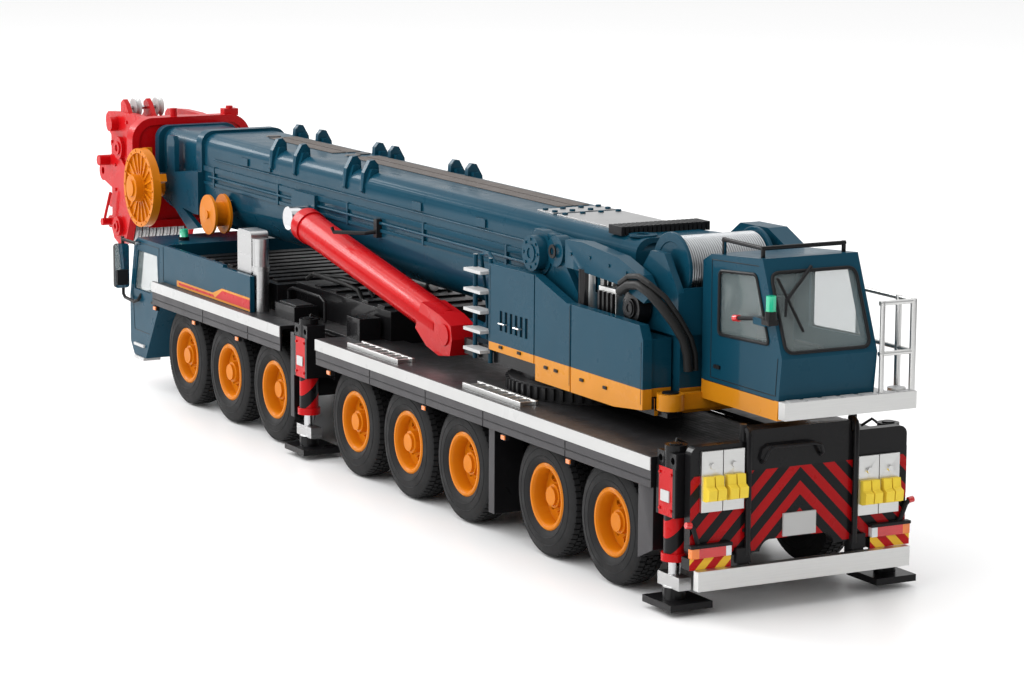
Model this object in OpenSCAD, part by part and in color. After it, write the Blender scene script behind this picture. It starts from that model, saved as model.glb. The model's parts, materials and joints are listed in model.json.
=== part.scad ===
// Die-cast scale model of an eight-axle telescopic mobile crane, in its travel pose.
// Frame: +X towards the carrier cab and boom head, +Y left, +Z up, origin on the floor
// under the middle of the model. All sizes are in millimetres, at the model's own size.

/* [Wheels] */
// Outer diameter of the tyres
tyre_d = 29.2; // [27:0.1:29.6]
// Width of a tyre
tyre_w = 8; // [6.5:0.1:8.4]
// Diameter of the rim seat inside the tyre
rim_d = 16.4; // [14:0.1:18]
// Distance of a wheel's middle plane from the centre line
wheel_y = 25.6; // [25:0.1:26]
// Position of the first axle
axle_1_x = 89; // [88.5:0.1:89.5]
// Gap between neighbouring tyres in a group of axles
tyre_gap = 1.8; // [1.4:0.1:2]
// Gap between the tyres of axles three and four, across the front outriggers
outrigger_gap = 22.8; // [22.4:0.1:23.2]
// Gap between the tyres of axles six and seven
rear_gap = 13.3; // [12.8:0.1:13.8]
// Radius of the wheel rods and stub axles
rod_r = 1.5; // [1.2:0.1:1.7]
// Radius of the king pins
kingpin_r = 1; // [0.8:0.1:1.2]
// Radial clearance of turning fits
turn_gap = 0.06; // [0.03:0.01:0.09]

/* [Carrier] */
// Height of the deck top above the tyres
deck_rise = 5.3; // [5:0.1:5.6]
// Half width over the deck skirts
deck_y = 32.2; // [32.1:0.1:32.6]
// Height of the skirt's lower edge
skirt_z = 27.4; // [27:0.1:28.5]
// Thickness of the deck skirt
skirt_t = 0.7; // [0.5:0.05:0.8]
// Half width of the main frame
frame_y = 12; // [11:0.1:12.4]
// Front face of the carrier cab
cab_front_x = 131; // [130.5:0.1:131.5]
// Half width of the carrier cab
cab_y = 30; // [29.6:0.1:30.4]
// Height of the carrier cab roof
cab_roof_z = 45.6; // [45:0.1:46]
// Wall thickness of the cabs
cab_wall = 1.1; // [0.9:0.05:1.4]
// Thickness of the window panes
pane_t = 0.5; // [0.4:0.05:0.7]

/* [Outriggers] */
// Distance of the front jacks ahead of the middle between axles three and four
front_jack_off = 4; // [3.6:0.1:4.2]
// Distance of the rear jacks behind the last axle
rear_jack_off = 27.5; // [27.2:0.1:27.8]
// Height of an outrigger beam
beam_h = 3.8; // [3.4:0.1:4]
// Width of an outrigger beam
beam_w = 6; // [5.5:0.1:6.2]
// Clearance between a beam and its tunnel
beam_gap = 0.2; // [0.1:0.05:0.3]
// Distance of a jack's axis from the centre line
jack_y = 28.6; // [28.4:0.1:28.8]
// Radius of the jack rod
jack_r = 1.4; // [1.2:0.1:1.6]

/* [Superstructure] */
// Distance of the slewing axis ahead of the middle between axles six and seven
slew_off = 3.25; // [2.75:0.05:3.75]
// Outer radius of the slewing ring
slew_r = 23; // [22:0.1:23.5]
// Half width over the side housings
housing_y = 22.6; // [22.2:0.1:22.8]
// Underside of the superstructure
upper_z = 39.5; // [39.2:0.1:39.8]

/* [Crane cab] */
// Left side of the crane cab
crane_cab_left = 9.5; // [9:0.1:9.8]
// Right side of the crane cab
crane_cab_right = -16; // [-16.4:0.1:-15.6]
// Position of the swing post of the crane cab
swing_x = -166.2; // [-166.3:0.05:-166.1]
// Distance of the swing post from the centre line
swing_y = 17; // [16.9:0.05:17.1]

/* [Boom] */
// Half width of the boom's base section
boom_y = 13; // [12.6:0.1:13.2]
// Height of the boom's top
boom_top = 77.5; // [77:0.1:78]
// Height of the middle of the boom's round belly
belly_z = 61.5; // [61.2:0.1:61.8]
// Wall thickness of the boom sections
boom_wall = 1.2; // [1:0.05:1.3]
// Clearance between boom sections
boom_gap = 0.35; // [0.3:0.05:0.45]
// Position of the boom's foot pin
foot_x = -130; // [-130.5:0.1:-129.5]
// Height of the boom's foot pin
foot_z = 66; // [65.5:0.1:66.5]
// Front end of the base section
base_front = 116; // [115:0.5:117]
// Front end of the second section
second_front = 150; // [149.5:0.1:150.4]
// Distance of the lift cylinders from the centre line
lift_y = 18; // [17.9:0.05:18.1]
// Radius of a lift cylinder's barrel
barrel_r = 4.4; // [4.2:0.05:4.5]
// Radius of a lift cylinder's rod
lift_rod_r = 2.6; // [2.2:0.1:2.8]
// Radius of the pin bores for a jib
jib_pin_r = 1.2; // [1:0.1:1.4]

/* [Hidden] */
$fn = 48;
axle_pitch = tyre_d + tyre_gap;
axle_4_x = axle_1_x - 2 * axle_pitch - tyre_d - outrigger_gap;
axle_7_x = axle_4_x - 2 * axle_pitch - tyre_d - rear_gap;
axle_x = [axle_1_x, axle_1_x - axle_pitch, axle_1_x - 2 * axle_pitch, axle_4_x, axle_4_x - axle_pitch,
    axle_4_x - 2 * axle_pitch, axle_7_x, axle_7_x - axle_pitch];
front_jack_x = (axle_x[2] + axle_x[3]) / 2 + front_jack_off;
rear_jack_x = axle_x[7] - rear_jack_off;
rear_flap_x = axle_x[7] - tyre_d / 2 - 1.5;
slew_x = (axle_x[5] + axle_x[6]) / 2 + slew_off;
// The upper pieces are drawn for a deck 34.5 high and a slewing axis at -105, then moved with these
deck_z = tyre_d + deck_rise;
rise = deck_z - 34.5;
cab_back = axle_1_x + 15;
ladder_in = slew_r + 2;
ladder_out = max(30, ladder_in + 2);
axle_z = tyre_d / 2;
tyre_out = wheel_y + tyre_w / 2;
tyre_in = wheel_y - tyre_w / 2;
kingpin_y = 17;
hub_in = tyre_in - 0.6;
frame_z0 = axle_z + 3;
frame_z1 = deck_z - 1;
skirt_y = deck_y - skirt_t;
beam_z = [deck_z - 12, deck_z - 12 + beam_h + 3 * beam_gap];
beam_top = beam_z[1] + beam_h;
beam_back = 23;
upper_floor = upper_z + 4;
boom_h = boom_top - belly_z;
second_y = boom_y - boom_wall - boom_gap;
head_y = second_y - boom_wall - boom_gap;
lift_foot = [-63, 43.3];
lift_eye = [35, 61.5];
lift_dx = lift_eye[0] - lift_foot[0];
lift_dz = lift_eye[1] - lift_foot[1];
lift_len = sqrt(lift_dx * lift_dx + lift_dz * lift_dz);
lift_a = atan2(lift_dz, lift_dx);
bore_r = lift_rod_r + turn_gap;
winch_x = -157;
winch_z = 72.4;

// Shared building blocks
module box(x0, x1, y0, y1, z0, z1) {
    translate([x0, y0, z0]) cube([x1 - x0, y1 - y0, z1 - z0]);
}
module rod_x(y, z, r, x0, x1) {
    translate([x0, y, z]) rotate([0, 90, 0]) cylinder(r = r, h = x1 - x0);
}
module rod_y(x, z, r, y0, y1) {
    translate([x, y0, z]) rotate([-90, 0, 0]) cylinder(r = r, h = y1 - y0);
}
module rod_z(x, y, r, z0, z1) {
    translate([x, y, z0]) cylinder(r = r, h = z1 - z0);
}
// Side-view outline (X, Z) drawn out from y0 to y1
module along_y(y0, y1) {
    translate([0, y1, 0]) rotate([90, 0, 0]) linear_extrude(y1 - y0) children();
}
// End-view outline (Y, Z) drawn out from x0 to x1
module along_x(x0, x1) {
    translate([x0, 0, 0]) rotate([90, 0, 90]) linear_extrude(x1 - x0) children();
}
module both_sides() {
    children();
    mirror([0, 1, 0]) children();
}
// Where the cab, the rear panel and the superstructure stand on the carrier
module at_cab() { translate([axle_1_x - 89, 0, rise]) children(); }
module at_rear() { translate([rear_jack_x + 188, 0, rise]) children(); }
module at_slew() { translate([slew_x + 105, 0, rise]) children(); }
// Rectangle with round corners of radius r, from corner to corner
module soft_rect(x0, x1, y0, y1, r) {
    translate([x0 + r, y0]) square([x1 - x0 - 2 * r, y1 - y0]);
    translate([x0, y0 + r]) square([x1 - x0, y1 - y0 - 2 * r]);
    for (x = [x0 + r, x1 - r], y = [y0 + r, y1 - r]) translate([x, y]) circle(r);
}

// Carrier: frame, axles, decks
module chassis_frame() {
    x0 = front_jack_x - 25;
    color([0.14, 0.13, 0.14]) difference() {
        union() {
            box(rear_jack_x - 4.6, cab_back, -frame_y, frame_y, frame_z0, frame_z1);
            for (x = [front_jack_x, rear_jack_x])
                box(x - 4.6, x + 4.6, -beam_back, beam_back, beam_z[0] - 1.4, frame_z1);
            rod_z(slew_x, 0, frame_y, frame_z1 - 1, deck_z);
            box(x0, cab_back, -frame_y, frame_y, frame_z1 - 1, deck_z + 7.5);
            box(x0, x0 + 60, -16, 16, deck_z, deck_z + 8);
            box(x0 + 60, cab_back, -22, 22, deck_z, deck_z + 7.5);
            for (i = [0 : 4]) box(x0 + 6 + i * 10, x0 + 10 + i * 10, -15, 15, deck_z + 7.9, deck_z + 8.6);
        }
        for (x = [front_jack_x, rear_jack_x], z = beam_z)
            box(x - beam_w / 2 - beam_gap, x + beam_w / 2 + beam_gap, -beam_back - 1, beam_back + 1,
                z - beam_gap, z + beam_h + beam_gap);
    }
}
module steered_beam(x) {
    box(x - 2, x + 2, -kingpin_y + 3.4, kingpin_y - 3.4, axle_z - 2.2, frame_z0);
    both_sides() {
        difference() {
            union() {
                box(x - 2, x + 2, kingpin_y - 5, kingpin_y, axle_z - 4.4, axle_z + 4.4);
                rod_z(x, kingpin_y, 2, axle_z - 4.4, axle_z + 4.4);
            }
            rod_z(x, kingpin_y, 2.6, axle_z - 3, axle_z + 3);
        }
        rod_z(x, kingpin_y, kingpin_r, axle_z - 3.2, axle_z + 3.2);
    }
}
module driven_beam(x) {
    difference() {
        union() {
            rod_y(x, axle_z, 2.8, -hub_in + 0.6, hub_in - 0.6);
            box(x - 2.4, x + 2.4, -frame_y + 2, frame_y - 2, axle_z, frame_z0);
            translate([x, 0, axle_z]) sphere(4);
        }
        rod_y(x, axle_z, rod_r + turn_gap, -hub_in - 1, hub_in + 1);
        box(x - 6, x + 6, -8, 8, frame_z0, frame_z0 + 5);
    }
}
module axle_beams() {
    color([0.16, 0.15, 0.16]) {
        for (i = [0, 1]) steered_beam(axle_x[i]);
        for (i = [2 : 7]) driven_beam(axle_x[i]);
    }
}
module deck_side(x0, x1) {
    box(x0, min(x1, cab_back), frame_y, deck_y, frame_z1, deck_z);
    box(x0, x1, skirt_y, deck_y, rise + skirt_z, deck_z);
}
module side_decks() {
    color([0.2, 0.19, 0.2]) both_sides() {
        deck_side(front_jack_x + 11, cab_back + 4);
        deck_side(rear_jack_x + 4.8, front_jack_x - 12);
        box(front_jack_x - 12, front_jack_x + 11, frame_y, beam_back, frame_z1, deck_z);
        box(rear_jack_x - 4.6, rear_jack_x + 4.8, frame_y, beam_back, frame_z1, deck_z);
        along_y(beam_back + 0.6, skirt_y) polygon([[rear_flap_x, 10], [rear_flap_x, frame_z1],
            [rear_jack_x + 4.8, frame_z1], [rear_jack_x + 4.8, 13]]);
        box(front_jack_x + 4.5, front_jack_x + 6.8, 24, 31, 10, frame_z1);
        box(slew_x - 2, slew_x + 1, 23, 31, 6, frame_z1);
    }
}
module bright_trim() {
    color([0.88, 0.88, 0.87]) {
        both_sides() {
            box(front_jack_x + 11, cab_back + 4, deck_y, deck_y + 0.3, deck_z - 3.1, deck_z - 0.1);
            box(rear_jack_x + 4.8, front_jack_x - 12, deck_y, deck_y + 0.3, deck_z - 3.1, deck_z - 0.1);
        }
        at_rear() box(-198, -196, -28.5, 28.5, 6.2, 10.8);
        for (x0 = [front_jack_x - 57, slew_x - 13]) deck_ladder(x0);
    }
}
module deck_ladder(x0) {
    for (y = [ladder_in, ladder_out - 0.8]) box(x0, x0 + 30, y, y + 0.8, deck_z, deck_z + 1.2);
    for (i = [0 : 7])
        box(x0 + 1.2 + i * 3.8, x0 + 2.2 + i * 3.8, ladder_in + 0.4, ladder_out - 0.4, deck_z, deck_z + 0.9);
}

// Carrier cab
module cab_outline(t) {
    polygon([[cab_front_x - 3 - t, 9 + t], [cab_front_x - t, 13 + t / 2], [cab_front_x - t, 27],
        [cab_front_x - 4 - t * 1.1, cab_roof_z - 1.6 - t * 0.7], [cab_front_x - 7 - t, cab_roof_z - t],
        [104 + t, cab_roof_z - t], [104 + t, 29 + t], [108 + t, 26.5 + t], [119 + t, 9 + t]]);
}
module side_window(g) {
    polygon([[124.4 - g, 41.6 - g], [109.4 + g, 41.6 - g], [108.6 + g, 32 + g], [115 + g, 29.6 + g],
        [127.4 - g, 29.6 + g]]);
}
module windscreen(g) {
    soft_rect(-cab_y + 3 + g, cab_y - 3 - g, 28 + g, 42.6 - g, 2);
}
module carrier_cab() {
    color([0.08, 0.23, 0.33]) at_cab() {
        difference() {
            along_y(-cab_y, cab_y) cab_outline(0);
            along_y(-cab_y + cab_wall, cab_y - cab_wall) cab_outline(cab_wall);
            along_y(-cab_y - 1, cab_y + 1) side_window(0);
            along_x(118, cab_front_x + 1) windscreen(0);
        }
        both_sides() difference() {
            box(41, 104.2, cab_y - 1.4, cab_y, 34.5, cab_roof_z);
            box(40, 60, cab_y - 2, cab_y + 1, cab_roof_z - 0.8, cab_roof_z + 1);
        }
        for (y = [20, -20]) {
            rod_z(112, y, 1.6, cab_roof_z - 0.2, cab_roof_z + 1);
            rod_z(112, y, 1.3, cab_roof_z + 0.8, cab_roof_z + 3.4);
        }
    }
}
module carrier_glazing() {
    color([0.12, 0.15, 0.17, 0.6]) at_cab() {
        both_sides() along_y(cab_y - cab_wall + 0.2, cab_y - cab_wall + 0.2 + pane_t) side_window(0.08);
        intersection() {
            along_x(118, cab_front_x + 1) windscreen(0.08);
            difference() {
                along_y(-cab_y, cab_y) cab_outline(0.25);
                along_y(-cab_y - 1, cab_y + 1) cab_outline(0.25 + pane_t);
            }
        }
    }
}
module carrier_seat(y) {
    box(104 + cab_wall, 106.6, y - 4, y + 4, 31, 41);
    box(104 + cab_wall, 112.6, y - 4, y + 4, 30.6, 32.6);
}
module cab_fittings() {
    color([0.1, 0.1, 0.11]) at_cab() {
        carrier_interior();
        cab_mirrors();
    }
}
module carrier_interior() {
    for (y = [-15, 15]) carrier_seat(y);
    box(120, 128.4, -cab_y + cab_wall, cab_y - cab_wall, 22, 27.6);
    translate([118.6, 15, 29.6]) rotate([0, -50, 0]) rotate_extrude() translate([3, 0]) circle(0.5);
    translate([118.6, 15, 29.6]) rotate([0, -50, 0]) cube([0.8, 6.4, 0.8], center = true);
    translate([119.8, 15, 28.2]) rotate([0, 40, 0]) cube([5, 1, 1], center = true);
}
module cab_mirrors() {
    both_sides() {
        rod_x(31.4, 44, 0.5, 122, 133.4);
        rod_y(122.4, 44, 0.5, cab_y, 31.8);
        rod_z(133, 31.4, 0.5, 30, 44.8);
        along_x(132.4, 134) soft_rect(29.6, 34.2, 29, 42.6, 1);
    }
}
module exhaust_stack() {
    color([0.8, 0.8, 0.8]) at_cab() {
        along_y(22.9, 28.2) soft_rect(44, 53.6, 44, 57, 1.4);
        rod_z(42.4, 26, 2.3, 34.5, 55.2);
        rod_z(42.4, 26, 2.6, 46, 47.4);
        rod_x(26, 53, 1.2, 42.4, 55.8);
        rod_z(52, 25.8, 1.4, 34.5, 45);
    }
}

// Rear of the carrier
module rear_panel() {
    color([0.12, 0.12, 0.13]) at_rear() difference() {
        union() {
            box(-195, -192.6, -13.5, 13.5, 13, 41);
            box(-193, -189.5, -frame_y, frame_y, 33.5, 41);
            both_sides() {
                along_x(-195, -192.6) soft_rect(12, 29, 13, 38.5, 2);
                rod_z(-194, 14.8, 0.8, 14, 42.4);
                box(-196, -192.6, 18.75, 29.6, 10.8, 13.4);
                box(-196, -192.6, 14, 17, 7, 13.4);
            }
        }
        along_x(-200, -180) soft_rect(-9.4, 10.6, 5, 15.6, 3);
    }
}
module wheel_chocks() {
    color([0.9, 0.82, 0.3]) at_rear() {
        chock_rack(15.4, 23.6);
        chock_rack(-26.6, 18.7);
    }
}
module chock_rack(y0, z0) {
    for (y = [y0, y0 + 5.7]) {
        box(-195.8, -195, y, y + 5.5, z0, z0 + 13.8);
        for (k = [0.4, 2.9]) along_y(y + k, y + k + 2.2) polygon([[-195.4, z0 + 2.6], [-195.4, z0 + 8.2],
            [-197, z0 + 8.2], [-197.2, z0 + 6], [-198.4, z0 + 5.4], [-198.2, z0 + 3], [-197, z0 + 2.6]]);
        rod_x(y + 2.75, z0 + 10.4, 0.7, -196.4, -195.2);
    }
}
module tail_lamps() {
    color([0.75, 0.06, 0.06]) at_rear() both_sides() {
        box(-196.6, -195, 18.9, 29.4, 13.4, 15.8);
    }
}

// Wheels
module tyre(y, side) {
    w = tyre_w / 2;
    r = tyre_d / 2;
    translate([0, y, axle_z]) rotate([90, 0, 0]) rotate_extrude()
        polygon([[rim_d / 2, -w * 0.8], [r - 4.4, -w], [r - 2, -w], [r - 0.6, -w * 0.86], [r, -w * 0.62],
            [r, w * 0.62], [r - 0.6, w * 0.86], [r - 2, w], [r - 4.4, w], [rim_d / 2, w * 0.8]]);
}
// Rim with its face towards +Y for side 1; dish and hub are the heights of its disc and hub
module rim(y, side, dish, bore, hub) {
    s = rim_d / 2;
    h = tyre_w / 2 * 0.8;
    translate([0, y, axle_z]) rotate([-90 * side, 0, 0]) difference() {
        union() {
            rotate_extrude() polygon([[s - 1.5, -h], [s, -h], [s, h], [s - 0.4, h + 0.3], [s - 1, h + 0.3],
                [s - 1.5, h - 0.4]]);
            translate([0, 0, -1.2]) cylinder(r = s - 0.8, h = 1.2 + dish);
            translate([0, 0, -h - 0.4]) cylinder(r = 3.4, h = h);
            cylinder(r = 2.9, h = hub);
            translate([0, 0, hub - 0.1]) cylinder(r = 2.3, h = 0.9);
        }
        if (bore > 0) translate([0, 0, -h - 1]) cylinder(r = bore, h = h + 2.6);
        for (a = [0 : 45 : 315]) rotate([0, 0, a]) translate([5, 0, -3]) cylinder(r = 0.7, h = 6);
    }
}
module knuckle(x, side) {
    color([0.2, 0.2, 0.21]) translate([x, 0, 0]) mirror([0, side > 0 ? 0 : 1, 0]) difference() {
        union() {
            rod_z(0, kingpin_y, 2.3, axle_z - 2.7, axle_z + 2.7);
            rod_y(0, axle_z, 2, kingpin_y, hub_in - 0.1);
            rod_y(0, axle_z, rod_r, kingpin_y + 1, wheel_y + 1.3);
        }
        rod_z(0, kingpin_y, kingpin_r + turn_gap, axle_z - 4, axle_z + 4);
    }
}
module steered_tyre(i, side) {
    color([0.11, 0.11, 0.11]) translate([axle_x[i], 0, 0]) tyre(side * wheel_y, side);
}
module steered_rim(i, side) {
    color([0.95, 0.65, 0.15]) translate([axle_x[i], 0, 0])
        rim(side * wheel_y, side, 0.6, rod_r + turn_gap, 2.7);
}
module tyre_pair(i) {
    color([0.11, 0.11, 0.11]) translate([axle_x[i], 0, 0]) for (s = [-1, 1]) tyre(s * wheel_y, s);
}
module wheelset(i) {
    near = i == 3 || i == 4;
    color([0.95, 0.65, 0.15]) translate([axle_x[i], 0, 0]) {
        for (s = [-1, 1]) rim(s * wheel_y, s, near ? 0.2 : -0.4, 0, near ? 2.7 : 1.5);
        rod_y(0, axle_z, rod_r, -wheel_y, wheel_y);
    }
}
module knuckle_1_left() { knuckle(axle_x[0], 1); }
module knuckle_1_right() { knuckle(axle_x[0], -1); }
module knuckle_2_left() { knuckle(axle_x[1], 1); }
module knuckle_2_right() { knuckle(axle_x[1], -1); }
module tyre_1_left() { steered_tyre(0, 1); }
module tyre_1_right() { steered_tyre(0, -1); }
module tyre_2_left() { steered_tyre(1, 1); }
module tyre_2_right() { steered_tyre(1, -1); }
module rim_1_left() { steered_rim(0, 1); }
module rim_1_right() { steered_rim(0, -1); }
module rim_2_left() { steered_rim(1, 1); }
module rim_2_right() { steered_rim(1, -1); }
module tyres_3() { tyre_pair(2); }
module tyres_4() { tyre_pair(3); }
module tyres_5() { tyre_pair(4); }
module tyres_6() { tyre_pair(5); }
module tyres_7() { tyre_pair(6); }
module tyres_8() { tyre_pair(7); }
module wheelset_3() { wheelset(2); }
module wheelset_4() { wheelset(3); }
module wheelset_5() { wheelset(4); }
module wheelset_6() { wheelset(5); }
module wheelset_7() { wheelset(6); }
module wheelset_8() { wheelset(7); }

// Outriggers
module outrigger(x, side) {
    z = beam_z[side > 0 ? 0 : 1];
    color([0.82, 0.1, 0.11]) mirror([0, side > 0 ? 0 : 1, 0]) difference() {
        union() {
            box(x - beam_w / 2, x + beam_w / 2, -beam_back + 1, jack_y - 1, z, z + beam_h);
            box(x - 4, x + 4, beam_back + 0.6, jack_y + 2.6, beam_z[0] - 0.5, deck_z - 1.5);
            rod_z(x, jack_y, 2.6, 11.6, deck_z + 3.5);
            rod_z(x, jack_y, 3.1, 11.6, 13.4);
            box(x - 4, x + 4, jack_y - 3, jack_y + 2.4, deck_z - 1.5, deck_z + 2);
        }
        rod_z(x, jack_y, jack_r + turn_gap, 9, deck_z - 0.5);
        for (dx = [-2.6, 2.6]) rod_y(x + dx, deck_z + 0.3, 0.8, jack_y - 4, jack_y + 4);
    }
}
module jack(x, side) {
    color([0.75, 0.75, 0.76]) mirror([0, side > 0 ? 0 : 1, 0]) {
        rod_z(x, jack_y, jack_r, 4, deck_z - 2.5);
        box(x - 4.6, x + 4.6, jack_y - 1.6, jack_y + 1.6, 5.4, 8.4);
        rod_z(x, jack_y, 2.6, 2.6, 5.6);
        box(x - 6.2, x + 6.2, jack_y - 6.4, jack_y + 4.6, 1.2, 2.8);
    }
}
module outrigger_front_left() { outrigger(front_jack_x, 1); }
module outrigger_front_right() { outrigger(front_jack_x, -1); }
module outrigger_rear_left() { outrigger(rear_jack_x, 1); }
module outrigger_rear_right() { outrigger(rear_jack_x, -1); }
module jack_front_left() { jack(front_jack_x, 1); }
module jack_front_right() { jack(front_jack_x, -1); }
module jack_rear_left() { jack(rear_jack_x, 1); }
module jack_rear_right() { jack(rear_jack_x, -1); }

// Superstructure
module slew_ring() {
    color([0.2, 0.2, 0.21]) at_slew() difference() {
        union() {
            rod_z(-105, 0, slew_r, 34.5, upper_z - 1.2);
            for (i = [0 : 59]) translate([-105, 0, 0]) rotate([0, 0, i * 6])
                box(slew_r - 0.5, slew_r + 0.8, -0.5, 0.5, 34.5 + 0.6, upper_z - 1.6);
        }
        rod_z(-105, 0, slew_r - 5, 34.5 - 1, upper_z);
    }
}
module upper_frame() {
    color([0.08, 0.23, 0.33]) at_slew() {
        rod_z(-105, 0, slew_r - 3, upper_z - 1.1, upper_z + 1);
        difference() {
            box(-164, -70, -20, 20, upper_z, upper_floor);
            rod_z(swing_x, swing_y, 3.6, upper_z + 1.2, upper_floor + 5);
        }
        box(-166.4, -165.8, -boom_y - 0.9, boom_y + 0.9, 58, 69);
        rod_z(-105, 0, slew_r - 5 - turn_gap, 34.5 + 0.7, upper_z);
        both_sides() {
            difference() {
                along_y(boom_y + 0.7, boom_y + 3.4) polygon([[-152, upper_floor - 0.2], [-152, 60], [-138, 73],
                    [-122, 74], [-100, 75], [-98, 66], [-72, 46], [-72, upper_floor - 0.2]]);
                rod_y(foot_x, foot_z, 2.4 + turn_gap, 0, 30);
            }
            difference() {
                along_y(boom_y + 0.2, boom_y + 2)
                    polygon([[-74, upper_z], [-58, upper_z], [-58, 46], [-63, 47], [-74, 46]]);
                rod_y(lift_foot[0], lift_foot[1], 1.6 + turn_gap, 0, 30);
            }
            along_y(boom_y + 0.7, boom_y + 2.4) polygon([[-148.4, 58], [-148.4, 70], [-154, 76.4], [-160, 76.4],
                [-166.4, 68], [-166.4, 58]]);
            difference() {
                side_gear(boom_y + 3.2);
                rod_y(foot_x, foot_z, 2.9, boom_y, boom_y + 4.2);
            }
            rod_y(winch_x, winch_z, 1.5, 9, boom_y + 1.2);
        }
        difference() {
            box(-165, -150, -boom_y - 0.9, boom_y + 0.9, upper_floor - 0.2, 60);
            box(-164, -151, -boom_y + 0.4, boom_y - 0.4, upper_floor + 1, 61);
        }
        along_y(-boom_y - 6.4, -boom_y - 1) polygon([[-141, 70], [-141, 77], [-146, 80.2], [-158, 80.4],
            [-165.8, 77], [-165.8, 62], [-150, 62]]);
        rod_z(swing_x, swing_y, 2, upper_z, 45.2);
        box(-168.2, -160, 15, 19, upper_z, upper_z + 1.1);
    }
}
// Pin cap, link plate, arm and hydraulic gear on the outside of a side plate
module side_gear(y) {
    rod_y(-106.7, 70, 5.6, y - 0.2, y + 2.4);
    rod_y(-106.7, 70, 4.4, y, y + 5);
    rod_y(-115, 71.4, 3.8, y - 0.2, y + 2.8);
    along_y(y - 0.2, y + 2) polygon([[-103, 75], [-112, 75], [-125, 62.4], [-125, 57], [-117, 57], [-100, 67]]);
    along_y(y, y + 3.4) polygon([[-121, 75], [-129, 75.4], [-146, 74], [-156, 71], [-160.4, 66.6], [-158, 64.8],
        [-147, 67.6], [-129, 68.4], [-121, 68.4]]);
    rod_z(-129, y + 1.2, 2.6, 52, 69);
    rod_z(-129, y + 1.2, 2, 52, 70);
    box(-144, -136, y - 0.2, y + 2.6, 52, 66);
    for (i = [0 : 3]) box(-143.6 + i * 2, -142.8 + i * 2, y, y + 3.4, 56, 65);
    rod_y(-151.6, 62.8, 3.8, y - 0.2, y + 3);
    rod_y(-151.6, 62.8, 2.2, y, y + 3.5);
}
module housing_outline() {
    polygon([[-88, 43.5], [-88, 65.1], [-111.4, 65.3], [-127.2, 60.7], [-161.3, 60.4], [-163, 57.1],
        [-163, 40.8], [-150, upper_z], [-112, upper_z], [-112, 43.5]]);
}
module side_housings() {
    color([0.08, 0.23, 0.33]) at_slew() both_sides() difference() {
        union() {
            along_y(20.1, housing_y) housing_outline();
            box(-162.4, -153, boom_y + 1.6, 20.3, upper_floor + 0.1, 57.1);
            box(-162.4, -158, boom_y + 7, 20.3, upper_z + 1.3, 57.1);
        }
        for (x = [-111.6, -129.6]) along_y(housing_y - 0.3, housing_y + 1) translate([x, 0]) square([0.5, 80]);
        for (i = [0 : 5]) along_y(housing_y - 0.5, housing_y + 1)
            translate([-108 + i * 2.6, 49]) square([1.3, 5]);
    }
}
module access_ladder() {
    color([0.75, 0.75, 0.76]) at_slew() both_sides() {
        for (z = [42 : 5 : 62]) box(-86, -77, 20.2, 24, z, z + 0.8);
        rod_z(-77.4, 20.8, 0.6, upper_z, 66);
        rod_z(-85.6, 20.8, 0.6, upper_z, 66);
    }
}
module winch_drum() {
    color([0.7, 0.7, 0.7]) at_slew() difference() {
        union() {
            rod_y(winch_x, winch_z, 7.4, -11.6, 11.6);
            for (y = [-11.8, 10.8]) rod_y(winch_x, winch_z, 8.4, y, y + 1);
        }
        rod_y(winch_x, winch_z, 1.5 + turn_gap, -20, 20);
    }
}

// Crane cab
module crane_cab_outline(t) {
    polygon([[-167.5 - t, 43.5 + t], [-167.5 - t, 75.6 - t], [-171 - t, 77.4 - t], [-192.4 + t * 0.6, 79 - t],
        [-201 + t, 57.6], [-199.4 + t, 43.5 + t]]);
}
module crane_side_window(g) {
    polygon([[-174.6 - g, 59.4 + g], [-174.6 - g, 74 - g], [-190 + g * 0.6, 75.2 - g], [-195.8 + g, 60.2 + g]]);
}
module crane_windscreen(g) {
    soft_rect(crane_cab_right + 1.6 + g, crane_cab_left - 1.3 - g, 58.8 + g, 75.9 - g, 1.4);
}
module crane_cab_shell() {
    color([0.08, 0.23, 0.33]) at_slew() {
        difference() {
            along_y(crane_cab_right, crane_cab_left) crane_cab_outline(0);
            along_y(crane_cab_right + cab_wall, crane_cab_left - cab_wall) crane_cab_outline(cab_wall);
            along_y(crane_cab_right - 1, crane_cab_left + 1) crane_side_window(0);
            along_x(-204, -188) crane_windscreen(0);
        }
        difference() {
            union() {
                rod_z(swing_x, swing_y, 3.2, upper_z + 1.6, 44.9);
                box(-167.9, swing_x, 3, swing_y, upper_z + 1.6, 44.9);
            }
            rod_z(swing_x, swing_y, 2 + turn_gap, 38, 60);
        }
        box(-199, -196, crane_cab_left - 0.2, crane_cab_left + 2.4, 65, 66.4);
        rod_z(-198, crane_cab_left + 1.2, 1.4, 66.2, 68.2);
        rod_z(-198, crane_cab_left + 1.2, 1.15, 68, 71.6);
        roof_rail();
    }
}
module roof_rail() {
    for (p = [[-173.4, 7.6, 77], [-189.6, 7.6, 78.2], [-189.6, -14, 78.2]]) rod_z(p[0], p[1], 0.5, p[2], 81.4);
    rod_x(7.6, 80.9, 0.5, -190, -173);
    rod_y(-189.6, 80.9, 0.5, -14.4, 8);
}
module crane_cab_glazing() {
    color([0.12, 0.15, 0.17, 0.6]) at_slew() {
        for (y = [crane_cab_left - cab_wall + 0.2, crane_cab_right + cab_wall - 0.2 - pane_t])
            along_y(y, y + pane_t) crane_side_window(0.08);
        intersection() {
            along_x(-204, -188) crane_windscreen(0.08);
            difference() {
                along_y(crane_cab_right, crane_cab_left) crane_cab_outline(0.25);
                along_y(crane_cab_right - 1, crane_cab_left + 1) crane_cab_outline(0.25 + pane_t);
            }
        }
    }
}
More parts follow.
